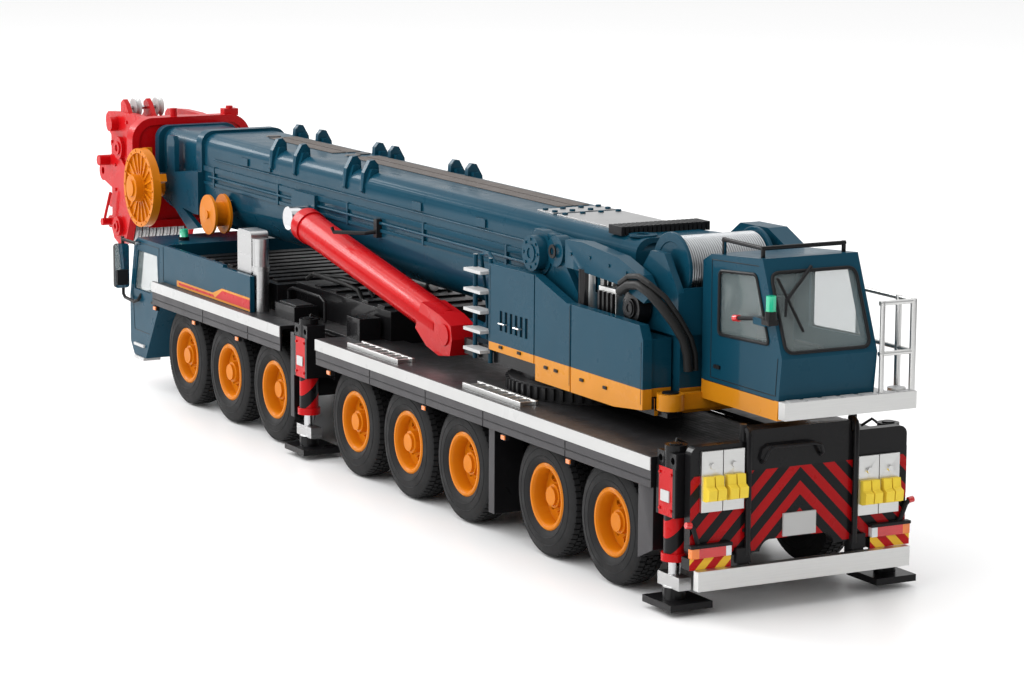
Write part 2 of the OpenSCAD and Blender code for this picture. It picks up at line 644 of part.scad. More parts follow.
module crane_cab_seat() {
    color([0.1, 0.1, 0.11]) at_slew() {
        box(-186, -178, -7.4, 0.9, 52, 55);
        box(-180, -177.6, -7.4, 0.9, 52, 68);
        box(-184, -180, -5, -1.5, 43.5 + cab_wall, 52.4);
        for (y = [-9.6, 1.6]) box(-189, -179, y, y + 1.6, 55.6, 57.4);
        for (y = [-9.6, 0.6]) box(-182, -179.4, y, y + 2.6, 53, 56);
    }
}
module crane_cab_walkway() {
    color([0.78, 0.78, 0.78]) at_slew() {
        box(-202.6, -200, -26, crane_cab_left, 44, 48);
        box(-202.6, -176, -26, crane_cab_right, 44, 46);
        for (x = [-201.6, -195.8, -180]) rod_z(x, -25.2, 0.75, 45, 69);
        for (z = [57, 68.5]) {
            rod_x(-25.2, z, 0.55, -202, -179.6);
            rod_y(-201.6, z, 0.55, -25.4, crane_cab_right);
        }
        rod_z(-201.6, crane_cab_right - 0.8, 0.6, 45, 69);
        rod_z(-199.4, -22.6, 2.1, 44.2, 48.6);
    }
}

// Boom
module boom_section_outline(a, h) {
    r = 4;
    circle(a, $fn = 64);
    translate([-a, 0]) square([2 * a, h - r]);
    translate([-a + r, 0]) square([2 * a - 2 * r, h]);
    for (y = [-a + r, a - r]) translate([y, h - r]) circle(r);
}
module boom_tube(x0, x1, a, h, wall) {
    difference() {
        along_x(x0, x1) translate([0, belly_z]) boom_section_outline(a, h);
        along_x(x0 - 1, x1 + 1) translate([0, belly_z]) boom_section_outline(a - wall, h - wall);
    }
}
module boom_base() {
    color([0.08, 0.23, 0.33]) at_slew() {
        boom_tube(-143, base_front, boom_y, boom_h, boom_wall);
        intersection() {
            along_x(-143, -118) translate([0, belly_z]) boom_section_outline(boom_y, boom_h);
            along_y(-20, 20) translate([foot_x, foot_z]) circle(15.5);
        }
        rod_y(foot_x, foot_z, 2.4, -boom_y - 3.6, boom_y + 3.6);
        both_sides() {
            box(-95, base_front - 2, boom_y - 0.4, boom_y + 0.5, 66.5, 68);
            box(-95, base_front - 2, boom_y - 0.4, boom_y + 0.5, 62.5, 63.4);
            along_y(boom_y - 1, boom_y + 1.6) polygon([[31, 55.6], [31, 68], [46, 68], [48, 56], [40, 54]]);
        }
        difference() {
            along_x(base_front - 4, base_front) translate([0, belly_z])
                boom_section_outline(boom_y + 1, boom_h + 0.8);
            along_x(base_front - 5, base_front + 1) translate([0, belly_z])
                boom_section_outline(boom_y - boom_wall, boom_h - boom_wall);
        }
        reel_strut();
        box(92.2, 95.8, boom_y - 1, boom_y + 1, 55.8, 59.4);
        for (x = [62, 46, 13, 2]) top_lug(x);
        for (x = [94, 78, 40, 30, -7, -17]) mirror([0, 1, 0]) top_lug(x);
        for (i = [0 : 19]) box(-135, -129, -12.4 + i * 1.25, -11.5 + i * 1.25, boom_top - 0.3, boom_top + 1.8);
        box(-134.4, -129.6, -12, 12, boom_top - 0.3, boom_top + 1.2);
    }
}
// Plate that carries the large reel beside the front of the base section
module reel_strut() {
    along_y(boom_y + 0.7, boom_y + 2.3) {
        polygon([[base_front - 4, 53], [base_front - 4, 66], [base_front, 66], [147, 62], [147, 56],
            [base_front, 53]]);
        polygon([[130, 56], [130, 73.4], [131, 75], [135, 75], [136, 73.4], [136, 56], [120, 47.6], [112, 49]]);
    }
}
module top_lug(x) {
    along_x(x, x + 1.8) polygon([[8.6, boom_top - 1], [8.8, boom_top + 2], [10, boom_top + 3.4],
        [11.4, boom_top + 3.2], [13.2, boom_top], [boom_y + 0.8, boom_top - 5], [boom_y - 0.3, boom_top - 6],
        [boom_y - 1.9, boom_top - 1.8]]);
    along_x(x - 1.4, x + 3.2) polygon([[9.6, boom_top - 1], [9.8, boom_top + 1], [11.6, boom_top + 1],
        [12.6, boom_top - 2.2]]);
}
module boom_section_2() {
    color([0.08, 0.23, 0.33]) at_slew() {
        boom_tube(-112, second_front, second_y, boom_h - boom_wall - boom_gap, boom_wall);
        difference() {
            along_x(second_front - 3, second_front) translate([0, belly_z])
                boom_section_outline(boom_y + 0.4, boom_h - 1);
            along_x(second_front - 5, second_front + 1) translate([0, belly_z])
                boom_section_outline(head_y + boom_gap, boom_h - 2 * boom_wall - boom_gap);
        }
    }
}
module head_cheek() {
    polygon([[156.5, 48], [156.5, 76.5], [170, 77.6], [182, 77.6], [194, 76.8], [195.6, 72.4], [191.4, 69.4],
        [191.4, 44], [192.6, 40], [190, 36], [185, 34.2], [180, 36], [177, 42], [174, 48]]);
    polygon([[190, 64], [198, 60], [198, 54], [190, 52]]);
    for (c = [[199, 57, 3.2], [192.6, 48, 2.2], [193.4, 41, 2], [193.4, 74, 2.6]])
        translate([c[0], c[1]]) circle(c[2]);
}
module boom_inner_section() {
    h = boom_h - 2 * (boom_wall + boom_gap);
    color([0.08, 0.23, 0.33]) at_slew() boom_tube(-106, 153, head_y, h, boom_wall);
}
module boom_head() {
    color([0.85, 0.1, 0.11]) at_slew() {
        along_x(153, 157) soft_rect(-20, 20, 44, 78.5, 7);
        difference() {
            along_x(152.4, 157) soft_rect(-20, 20, 44, 78.5, 7);
            along_x(151, 153.5) soft_rect(-17.6, 17.6, 46.4, 76.2, 5);
        }
        both_sides() difference() {
            union() {
                along_y(9, 11.5) head_cheek();
                rod_y(183, 66, 3.6, 11, 12.8);
                rod_y(185, 40.5, 3.2, 11, 12.8);
                rod_y(187, 73.4, 2.4, 11, 14);
                rod_y(194, 61, 1.7, 9, 15);
                rod_y(193.4, 41, 1.2, 9, 14.4);
            }
            rod_y(199, 57, jib_pin_r, 0, 20);
        }
        box(156, 166, -10, 10, 47, 76);
        box(166, 172, -9.4, 9.4, 70, 77);
        for (y = [9.4, 1.6]) along_y(y, y + 1.5)
            polygon([[176, 75.2], [180, 80.2], [182.2, 81.6], [184.4, 80.4], [184.4, 77], [187, 75.2]]);
        box(174, 188, -3, 10, 73.6, 75.4);
        for (y = [5, -14]) rod_z(155, y, 1.1, 78, 81);
        box(153.4, 156.6, -16.4, -11.6, 78, 80.2);
        for (p = [[185, 40.5], [183, 66]]) rod_y(p[0], p[1], 1.6, -9.4, 9.4);
        rod_y(182.2, 78.8, 0.6, -2.2, 10.6);
    }
}
module head_sheaves() {
    color([0.7, 0.7, 0.7]) at_slew() {
        for (p = [[185, 40.5, 6], [183, 66, 6.4]]) for (i = [-3 : 3]) sheave(p[0], i * 2.45, p[1], p[2], 1.6);
        for (y = [6.6, -1]) sheave(182.2, y, 78.8, 3, 0.6);
    }
}
module sheave(x, y, z, r, bore) {
    translate([x, y, z]) rotate([90, 0, 0]) rotate_extrude() polygon([[bore, -1], [r, -1], [r, -0.75],
        [r - 0.8, -0.25], [r - 0.8, 0.25], [r, 0.75], [r, 1], [bore, 1]]);
}
module spool(x, z, r, y0, y1) {
    for (y = [y0, y1 - 0.8]) rod_y(x, z, r, y, y + 0.8);
    rod_y(x, z, r * 0.62, y0, y1);
    rod_y(x, z, 1.2, y1 - 0.2, y1 + 0.5);
}
// Large thin reel: raised rim, dished web with ribs, hub
module dished_reel(x, z, r, y0, y1) {
    difference() {
        rod_y(x, z, r, y0, y1);
        difference() {
            rod_y(x, z, r - 1.4, y1 - 0.9, y1 + 1);
            rod_y(x, z, 4.4, y1 - 2, y1 + 2);
        }
        for (a = [0 : 20 : 340]) translate([x, 0, z]) rotate([0, a, 0]) rod_y(r - 0.7, 0, 0.35, y0 - 1, y1 + 1);
    }
    rod_y(x, z, 4.2, y1 - 1.2, y1 + 2.4);
    rod_y(x, z, 2.6, y1, y1 + 2.9);
    for (a = [0 : 20 : 340]) translate([x, 0, z]) rotate([0, a, 0])
        box(4, r - 1, y1 - 1.2, y1 - 0.35, -0.3, 0.3);
    for (a = [20, 95, 150]) translate([x, 0, z]) rotate([0, a, 0])
        box(-r - 0.1, -r + 2.4, y0 - 2, y0 + 0.2, -1.2, 1.2);
}
module rope_reels() {
    color([0.95, 0.65, 0.15]) at_slew() {
        dished_reel(140.4, 58.5, 12.1, 20.4, 23);
        rod_y(140.4, 58.5, 3, boom_y + 2.3, 20.6);
        spool(94, 55.5, 5.9, boom_y + 1.4, boom_y + 7);
        rod_y(94, 57.6, 1.4, boom_y + 1, boom_y + 2);
    }
}
// Lift cylinders: drawn along +X from the foot pin, then turned to their angle
module at_lift() {
    at_slew() translate([lift_foot[0], 0, lift_foot[1]]) rotate([0, -lift_a, 0]) children();
}
module lift_barrels() {
    color([0.82, 0.1, 0.11]) {
        both_sides() at_lift() difference() {
            union() {
                rod_x(lift_y, 0, barrel_r, 6, lift_len - 6);
                rod_x(lift_y, 0, barrel_r + 0.4, lift_len - 10, lift_len - 6);
                along_y(boom_y + 2.3, lift_y + 4.2) polygon([[-4, -4.4], [-4.4, 0], [-3, 3.4], [3, 4.2],
                    [14, 4.2], [16, -3.6], [9, -6.2], [2, -6.4]]);
            }
            rod_x(lift_y, 0, bore_r, 10, lift_len);
        }
        at_slew() rod_y(lift_foot[0], lift_foot[1], 1.6, -lift_y - 4.6, lift_y + 4.6);
    }
}
module lift_rods() {
    color([0.85, 0.85, 0.86]) both_sides() at_lift() {
        rod_x(lift_y, 0, lift_rod_r, 10.4, lift_len - 2.4);
        rod_y(lift_len, 0, 3.3, lift_y - 2.9, lift_y + 3);
    }
}

chassis_frame();
axle_beams();
side_decks();
bright_trim();
carrier_cab();
carrier_glazing();
cab_fittings();
exhaust_stack();
rear_panel();
wheel_chocks();
tail_lamps();
knuckle_1_left();
knuckle_1_right();
knuckle_2_left();
knuckle_2_right();
tyre_1_left();
tyre_1_right();
tyre_2_left();
tyre_2_right();
rim_1_left();
rim_1_right();
rim_2_left();
rim_2_right();
tyres_3();
tyres_4();
tyres_5();
tyres_6();
tyres_7();
tyres_8();
wheelset_3();
wheelset_4();
wheelset_5();
wheelset_6();
wheelset_7();
wheelset_8();
outrigger_front_left();
outrigger_front_right();
outrigger_rear_left();
outrigger_rear_right();
jack_front_left();
jack_front_right();
jack_rear_left();
jack_rear_right();
slew_ring();
upper_frame();
side_housings();
access_ladder();
winch_drum();
crane_cab_shell();
crane_cab_glazing();
crane_cab_seat();
crane_cab_walkway();
boom_base();
boom_section_2();
boom_inner_section();
boom_head();
head_sheaves();
rope_reels();
lift_barrels();
lift_rods();
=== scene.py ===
"""Paint, rubber, glass and small fittings for a die-cast telescopic crane model.

The pieces are drawn in millimetres in the frame of the CAD part: X forward, Y to the left, Z up.
"""

import json
import math

import bmesh
import bpy
from mathutils import Matrix, Vector


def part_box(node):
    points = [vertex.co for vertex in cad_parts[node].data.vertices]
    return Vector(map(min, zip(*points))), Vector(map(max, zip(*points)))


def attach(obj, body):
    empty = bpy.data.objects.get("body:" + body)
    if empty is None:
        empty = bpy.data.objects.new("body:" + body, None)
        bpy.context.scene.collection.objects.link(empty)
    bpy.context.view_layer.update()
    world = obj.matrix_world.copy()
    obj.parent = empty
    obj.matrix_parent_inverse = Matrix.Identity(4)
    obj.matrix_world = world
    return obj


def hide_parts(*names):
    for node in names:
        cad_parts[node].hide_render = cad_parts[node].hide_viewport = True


bl_info = {
    "name": "Die-cast crane model",
    "version": (1, 0, 0),
    "blender": (4, 5, 0),
    "location": "View3D > Sidebar > Crane",
    "description": "Dresses the packed crane with its paint, tyres, panes and fittings",
    "category": "Object",
}

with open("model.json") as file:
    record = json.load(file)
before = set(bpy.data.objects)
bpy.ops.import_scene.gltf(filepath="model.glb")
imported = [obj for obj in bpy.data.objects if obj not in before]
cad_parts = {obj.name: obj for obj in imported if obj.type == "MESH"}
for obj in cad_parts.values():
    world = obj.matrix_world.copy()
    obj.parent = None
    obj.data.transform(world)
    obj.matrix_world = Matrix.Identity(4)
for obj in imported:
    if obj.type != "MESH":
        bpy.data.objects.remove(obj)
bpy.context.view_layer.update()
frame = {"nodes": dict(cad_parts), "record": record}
MM = 0.001
BODY_OF = {n: b for b, ns in frame["record"]["behaviour"]["bodies"].items() for n in ns}


# Places read from the frame


def span(node):
    """Lowest and highest corner of a CAD node, in millimetres."""
    low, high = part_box(node)
    return low / MM, high / MM


def middle(node):
    """Centre of a CAD node's box, in millimetres."""
    return tuple((low + high) / 2 / MM for low, high in zip(*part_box(node)))


TYRE_R = span("tyres_3")[1].z / 2
TYRE_HALF = (span("tyre_1_left")[1].y - span("tyre_1_left")[0].y) / 2
TRACK_Y = middle("tyre_1_left")[1]
DECK_TOP = span("side_decks")[1].z
SKIRT_Y = span("side_decks")[1].y
WING_Y = span("carrier_cab")[1].y
NOSE_X = span("carrier_cab")[1].x
REAR_X = span("tail_lamps")[1].x
HOUSING_Y = span("side_housings")[1].y
CAB_LEFT_Y = span("crane_cab_walkway")[1].y
CAB_RIGHT_Y = span("crane_cab_shell")[0].y
CAB_SILL_X = span("crane_cab_shell")[0].x
WINCH = Vector(middle("winch_drum"))
WINCH_R = WINCH.z - span("winch_drum")[0].z

# Places on the pieces that no box shows
BAND_TOP = 45.6
CAB_BAND_TOP = 48.0
CAB_SILL_Z = 57.6
CAB_ROOF_X = -192.4
CAB_ROOF_Z = 79.0
BOOM_TOP = 77.4
BOOM_PIVOT_X = -106.7
BOOM_PIVOT_Z = 70.0
LIFT_FOOT = Vector((-63, 0, 43.3))
LIFT_EYE = Vector((35, 0, 61.5))
HEAD_CHEEK_Y = 11.4

SIDES = (1, -1)
AXIS_X, AXIS_Y, AXIS_Z = (1, 0, 0), (0, 1, 0), (0, 0, 1)

# A face counts as level or upright when its normal is this close to the axis
SQUARE = 0.9

# The camera that took the photograph, fitted to wheels, deck and bumper
CAMERA_PLACE = (-0.8088, 0.4082, 0.1852)
CAMERA_AZIMUTH, CAMERA_ELEVATION, CAMERA_ROLL = -28.552, -9.710, 0.365
FOCAL_PIXELS, PHOTO_PIXELS, SENSOR_MM = 3327.2, 1024.0, 36.0


def across(side, near, far):
    """Span in Y between two distances from the middle, on one side, lowest first."""
    return sorted((near * side, far * side))


def on_side(side, points):
    """Points drawn for the left, put on one side of the middle."""
    return [(x, y * side, z) for x, y, z in points]


# Sizes and colours a user would change


def colour_prop(label, text, rgb):
    return bpy.props.FloatVectorProperty(
        name=label, description=text, subtype="COLOR", size=3, min=0.0, max=1.0, default=rgb
    )


def length_prop(label, text, mm):
    return bpy.props.FloatProperty(
        name=label, description=text, subtype="DISTANCE", unit="LENGTH", default=mm * MM
    )


class CraneColours(bpy.types.PropertyGroup):
    """Colours of the paint and plastics"""

    blue: colour_prop("Petrol blue", "Cabs, boom and housings", (0.0042, 0.045, 0.076))
    red: colour_prop("Signal red", "Boom head, lift cylinders and jacks", (0.45, 0.004, 0.006))
    gold: colour_prop("Golden orange", "Rims and rope reels", (0.56, 0.165, 0.004))
    band: colour_prop("Band yellow", "Lower band of housings and crane cab", (0.56, 0.21, 0.008))
    black: colour_prop("Chassis black", "Frame, decks and rear panel", (0.007, 0.0068, 0.0075))
    rubber: colour_prop("Rubber", "Tyres", (0.0115, 0.0115, 0.012))
    silver: colour_prop("Bright trim", "Strips, bumper, ladders and walkway", (0.66, 0.66, 0.65))
    chock: colour_prop("Chock yellow", "Wheel chocks", (0.86, 0.62, 0.06))


class CraneSizes(bpy.types.PropertyGroup):
    """Sizes of the small detail"""

    edge: length_prop("Edge rounding", "Rounding of painted edges", 0.14)
    tread: length_prop("Tread depth", "Depth of the tyre tread", 0.45)


def colours():
    return bpy.context.scene.crane_colours


def sizes():
    return bpy.context.scene.crane_sizes


# Finishes

FINISHES = {}


def shader(name):
    """New node material with one surface shader."""
    mat = bpy.data.materials.new(name)
    mat.use_nodes = True
    tree = mat.node_tree
    tree.nodes.clear()
    out = tree.nodes.new("ShaderNodeOutputMaterial")
    bsdf = tree.nodes.new("ShaderNodeBsdfPrincipled")
    tree.links.new(bsdf.outputs["BSDF"], out.inputs["Surface"])
    return mat, tree, bsdf


def dial(node, values):
    """Sets inputs of a node by name."""
    for key, value in values.items():
        node.inputs[key].default_value = value


def object_coord(tree):
    return tree.nodes.new("ShaderNodeTexCoord").outputs["Object"]


def noise(tree, scale, detail=3.0):
    """Cloudy pattern in the object's own space."""
    tex = tree.nodes.new("ShaderNodeTexNoise")
    dial(tex, {"Scale": scale, "Detail": detail, "Roughness": 0.55})
    tree.links.new(object_coord(tree), tex.inputs["Vector"])
    return tex.outputs["Fac"]


def spread(tree, fac, low, high):
    """Pattern stretched to run from low to high."""
    node = tree.nodes.new("ShaderNodeMapRange")
    dial(node, {"To Min": low, "To Max": high, "From Min": 0.3, "From Max": 0.7})
    tree.links.new(fac, node.inputs["Value"])
    return node.outputs["Result"]


def tint(tree, fac, a, b):
    """Colour that runs from a to b with a pattern."""
    node = tree.nodes.new("ShaderNodeMix")
    node.data_type = "RGBA"
    dial(node, {"A": (*a, 1), "B": (*b, 1)})
    tree.links.new(fac, node.inputs["Factor"])
    return node.outputs["Result"]


def bump(tree, bsdf, fac, strength, distance):
    node = tree.nodes.new("ShaderNodeBump")
    dial(node, {"Strength": strength, "Distance": distance})
    tree.links.new(fac, node.inputs["Height"])
    tree.links.new(node.outputs["Normal"], bsdf.inputs["Normal"])


def shade(rgb, k):
    return tuple(min(1.0, c * k) for c in rgb)


def paint_base(tree, bsdf, pattern, rgb, dark, light):
    """Base colour that wanders between a darker and a lighter shade."""
    tree.links.new(tint(tree, pattern, shade(rgb, dark), shade(rgb, light)), bsdf.inputs["Base Color"])


def roughen(tree, bsdf, pattern, rough, low, high):
    """Roughness that wanders about its mean."""
    tree.links.new(spread(tree, pattern, rough * low, rough * high), bsdf.inputs["Roughness"])


def coat_paint(name, rgb, rough, coat, peel=0.05, gloss=0.08):
    """Sprayed enamel: faint mottling, orange peel and a clear coat."""
    mat, tree, bsdf = shader(name)
    paint_base(tree, bsdf, noise(tree, 55, 4), rgb, 0.9, 1.12)
    roughen(tree, bsdf, noise(tree, 160), rough, 0.85, 1.2)
    dial(bsdf, {"Specular IOR Level": gloss, "Coat Weight": coat, "Coat Roughness": 0.04})
    bump(tree, bsdf, noise(tree, 900, 2), peel, 0.0002)
    return mat


def dull_plastic(name, rgb, rough=0.5, grain=0.12, scale=1500):
    """Moulded plastic or rubber with a fine grain."""
    mat, tree, bsdf = shader(name)
    paint_base(tree, bsdf, noise(tree, 90, 4), rgb, 0.82, 1.2)
    roughen(tree, bsdf, noise(tree, 260), rough, 0.88, 1.12)
    dial(bsdf, {"Specular IOR Level": 0.16})
    bump(tree, bsdf, noise(tree, scale), grain, 0.0002)
    return mat


def bare_metal(name, rgb, rough=0.3, stretch=(1, 1, 30), grain=0.06):
    """Metal with fine drawn lines along one axis."""
    mat, tree, bsdf = shader(name)
    mapping = tree.nodes.new("ShaderNodeMapping")
    dial(mapping, {"Scale": stretch})
    tex = tree.nodes.new("ShaderNodeTexNoise")
    dial(tex, {"Scale": 120, "Detail": 4})
    tree.links.new(object_coord(tree), mapping.inputs["Vector"])
    tree.links.new(mapping.outputs["Vector"], tex.inputs["Vector"])
    lines = tex.outputs["Fac"]
    paint_base(tree, bsdf, lines, rgb, 0.88, 1.06)
    roughen(tree, bsdf, lines, rough, 0.8, 1.25)
    dial(bsdf, {"Metallic": 1.0})
    bump(tree, bsdf, lines, grain, 0.0001)
    return mat


def clear_pane(name, rgb, alpha):
    """Tinted window plastic, slightly wavy."""
    mat, tree, bsdf = shader(name)
    paint_base(tree, bsdf, noise(tree, 30, 2), rgb, 0.85, 1.0)
    dial(bsdf, {"Roughness": 0.04, "Alpha": alpha, "Coat Weight": 0.4})
    bump(tree, bsdf, noise(tree, 60, 2), 0.03, 0.0004)
    return mat


def lens(name, rgb, ribs=900.0):
    """Lamp lens with fine ribs."""
    mat, tree, bsdf = shader(name)
    paint_base(tree, bsdf, noise(tree, 200, 2), rgb, 0.7, 1.15)
    dial(bsdf, {"Roughness": 0.12, "Coat Weight": 0.7})
    wave = tree.nodes.new("ShaderNodeTexWave")
    dial(wave, {"Scale": ribs})
    tree.links.new(object_coord(tree), wave.inputs["Vector"])
    bump(tree, bsdf, wave.outputs["Fac"], 0.25, 0.0002)
    return mat


def striped(name, a, b, period_mm, fold):
    """Two-colour stripes that slant across Y and Z. fold mirrors the slant about the middle."""
    mat, tree, bsdf = shader(name)
    split = tree.nodes.new("ShaderNodeSeparateXYZ")
    tree.links.new(object_coord(tree), split.inputs["Vector"])

    def calc(op, *terms):
        node = tree.nodes.new("ShaderNodeMath")
        node.operation = op
        for i, term in enumerate(terms):
            if isinstance(term, (int, float)):
                node.inputs[i].default_value = term
            else:
                tree.links.new(term, node.inputs[i])
        return node.outputs[0]

    y = calc("ABSOLUTE", split.outputs["Y"]) if fold else split.outputs["Y"]
    per_metre = 1.0 / (period_mm * MM)
    along = calc("ADD", calc("MULTIPLY", y, per_metre), calc("MULTIPLY", split.outputs["Z"], per_metre))
    band = calc("GREATER_THAN", calc("FRACT", along), 0.5)
    tree.links.new(tint(tree, band, a, b), bsdf.inputs["Base Color"])
    roughen(tree, bsdf, noise(tree, 200), 0.3, 0.85, 1.15)
    dial(bsdf, {"Specular IOR Level": 0.1, "Coat Weight": 0.08})
    bump(tree, bsdf, noise(tree, 900, 2), 0.05, 0.0002)
    return mat


def tread_plate(name, rgb, rough=0.42, size=650.0):
    """Painted or bright plate with a raised chequer pattern."""
    mat, tree, bsdf = shader(name)
    cells = tree.nodes.new("ShaderNodeTexVoronoi")
    cells.feature = "DISTANCE_TO_EDGE"
    dial(cells, {"Scale": size, "Randomness": 0.0})
    tree.links.new(object_coord(tree), cells.inputs["Vector"])
    paint_base(tree, bsdf, noise(tree, 80), rgb, 0.8, 1.2)
    roughen(tree, bsdf, noise(tree, 300), rough, 0.85, 1.15)
    bump(tree, bsdf, cells.outputs["Distance"], 0.5, 0.0004)
    return mat


def make_finishes():
    c = colours()
    red, black = tuple(c.red), tuple(c.black)
    FINISHES.update(
        blue=coat_paint("petrol_blue", tuple(c.blue), 0.3, 0.14, gloss=0.05),
        red=coat_paint("signal_red", red, 0.28, 0.12),
        gold=coat_paint("golden_orange", tuple(c.gold), 0.36, 0.06, 0.08),
        band=coat_paint("band_yellow", tuple(c.band), 0.3, 0.2),
        black=coat_paint("chassis_black", black, 0.3, 0.2, 0.08),
        grey=coat_paint("axle_grey", (0.02, 0.02, 0.021), 0.42, 0.1, 0.1),
        silver=bare_metal("bright_trim", tuple(c.silver), 0.36),
        white=coat_paint("bright_white", (0.48, 0.48, 0.475), 0.3, 0.1),
        steel=bare_metal("bare_steel", (0.45, 0.45, 0.45), 0.32),
        rope=bare_metal("wire_rope", (0.4, 0.41, 0.42), 0.4, (1, 1, 1)),
        chrome=bare_metal("chrome", (0.5, 0.5, 0.51), 0.1, (1, 1, 8), 0.02),
        rubber=dull_plastic("tyre_rubber", tuple(c.rubber), 0.62, 0.2),
        plastic=dull_plastic("black_plastic", (0.011, 0.011, 0.012), 0.45),
        hose=dull_plastic("hose_rubber", (0.012, 0.012, 0.012)),
        skirt=coat_paint("skirt_grey", (0.045, 0.043, 0.046), 0.4, 0.15, 0.08),
        seat=dull_plastic("seat_grey", (0.03, 0.03, 0.033), 0.7, 0.3, 2600),
        chock=dull_plastic("chock_yellow", tuple(c.chock), 0.4),
        pane=clear_pane("window_pane", (0.35, 0.42, 0.42), 0.22),
        mirror=bare_metal("mirror_glass", (0.8, 0.82, 0.84), 0.06, (1, 1, 1), 0.0),
        red_lens=lens("red_lens", (0.62, 0.01, 0.012)),
        amber_lens=lens("amber_lens", (0.85, 0.2, 0.01)),
        green_lens=lens("green_lens", (0.01, 0.5, 0.27), 600),
        clear_lens=lens("clear_lens", (0.75, 0.78, 0.8), 700),
        chevron=striped("rear_chevrons", shade(red, 0.8), black, 6.3, True),
        hazard=striped("hazard_strip", (0.85, 0.5, 0.04), red, 5.2, True),
        jack_band=striped("jack_band", red, black, 8, False),
        deck=tread_plate("deck_plate", (0.014, 0.0135, 0.0145)),
        grip=tread_plate("grip_strip", (0.085, 0.07, 0.062), 0.7, 1400),
        step=tread_plate("step_plate", (0.5, 0.5, 0.5), 0.4, 900),
    )


# Mesh making


class Maker:
    """Collects shapes in millimetres into one mesh, with a finish for each."""

    def __init__(self):
        self.bm = bmesh.new()
        self.finishes = []

    def face(self, verts, finish, smooth=False):
        if finish not in self.finishes:
            self.finishes.append(finish)
        face = self.bm.faces.new(verts)
        face.material_index = self.finishes.index(finish)
        face.smooth = smooth

    def faces(self, points, faces, finish):
        verts = [self.bm.verts.new(p) for p in points]
        for f in faces:
            self.face([verts[k] for k in f], finish)

    def box(self, x0, x1, y0, y1, z0, z1, finish):
        self.prism([(x0, z0), (x1, z0), (x1, z1), (x0, z1)], y0, y1, finish)

    def prism(self, outline, y0, y1, finish):
        """Outline of (x, z) points drawn across from y0 to y1."""
        n = len(outline)
        points = [(x, y, z) for y in (y0, y1) for x, z in outline]
        faces = [list(range(n))[::-1], list(range(n, 2 * n))]
        faces += [[i, (i + 1) % n, n + (i + 1) % n, n + i] for i in range(n)]
        self.faces(points, faces, finish)

    def rod(self, p, q, r, finish, sides=16):
        self.sweep([p, q], r, finish, sides)

    def seam(self, a, b, y, r):
        """Panel joint between two (x, z) points of a side face."""
        self.sweep([(a[0], y, a[1]), (b[0], y, b[1])], r, "plastic", 6)

    def sweep(self, path, r, finish, sides=8):
        """Round bar or hose along a path of points."""
        pts = [Vector(p) for p in path]
        last = len(pts) - 1
        rings, up = [], None
        for i, p in enumerate(pts):
            d = (pts[min(i + 1, last)] - pts[max(i - 1, 0)]).normalized()
            up = d.orthogonal() if up is None else up - d * up.dot(d)
            up.normalize()
            side = d.cross(up)
            turns = (2 * math.pi * k / sides for k in range(sides))
            rings.append([self.bm.verts.new(p + (up * math.cos(t) + side * math.sin(t)) * r) for t in turns])
        for near, far in zip(rings, rings[1:]):
            for k in range(sides):
                j = (k + 1) % sides
                self.face([near[k], near[j], far[j], far[k]], finish, True)
        self.face(rings[0][::-1], finish)
        self.face(rings[-1], finish)

    def lathe(self, profile, centre, axis, finish, sides=48):
        """Turned shape: closed profile of (radius, along) round an axis through centre."""
        d = Vector(axis).normalized()
        u = d.orthogonal().normalized()
        w = d.cross(u)
        n = len(profile)
        rings = []
        for k in range(sides):
            t = 2 * math.pi * k / sides
            e = u * math.cos(t) + w * math.sin(t)
            rings.append([self.bm.verts.new(Vector(centre) + d * h + e * r) for r, h in profile])
        for k in range(sides):
            near, far = rings[k], rings[(k + 1) % sides]
            for i in range(n):
                j = (i + 1) % n
                self.face([near[i], near[j], far[j], far[i]], finish, True)

    def collar(self, bore, radius, height, centre, axis, finish, sides):
        """Flat ring that stands on a face."""
        self.lathe([(bore, 0), (radius, 0), (radius, height), (bore, height)], centre, axis, finish, sides)

    def done(self, name, body, edge=0.0, hides=()):
        """Turns the collected shapes into a piece that rides on body."""
        bmesh.ops.remove_doubles(self.bm, verts=self.bm.verts, dist=0.0005)
        bmesh.ops.recalc_face_normals(self.bm, faces=self.bm.faces)
        bmesh.ops.scale(self.bm, vec=(MM, MM, MM), verts=self.bm.verts)
        mesh = bpy.data.meshes.new(name)
        self.bm.to_mesh(mesh)
        self.bm.free()
        finish_piece(name, mesh, self.finishes, body, edge, hides, segments=1)


def finish_piece(name, mesh, finishes, body, edge, hides, segments, crease=32):
    """Gives a mesh its finishes, soft edges and body. crease is the smoothing limit in degrees."""
    for key in finishes:
        mesh.materials.append(FINISHES[key])
    mesh.set_sharp_from_angle(angle=math.radians(crease))
    obj = bpy.data.objects.new(name, mesh)
    bpy.context.scene.collection.objects.link(obj)
    if edge:
        mod = obj.modifiers.new("soft edges", "BEVEL")
        mod.width = edge * MM
        mod.segments = segments
        mod.limit_method = "ANGLE"
        mod.angle_limit = math.radians(38)
        mod.harden_normals = True
    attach(obj, body)
    if hides:
        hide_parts(*hides)


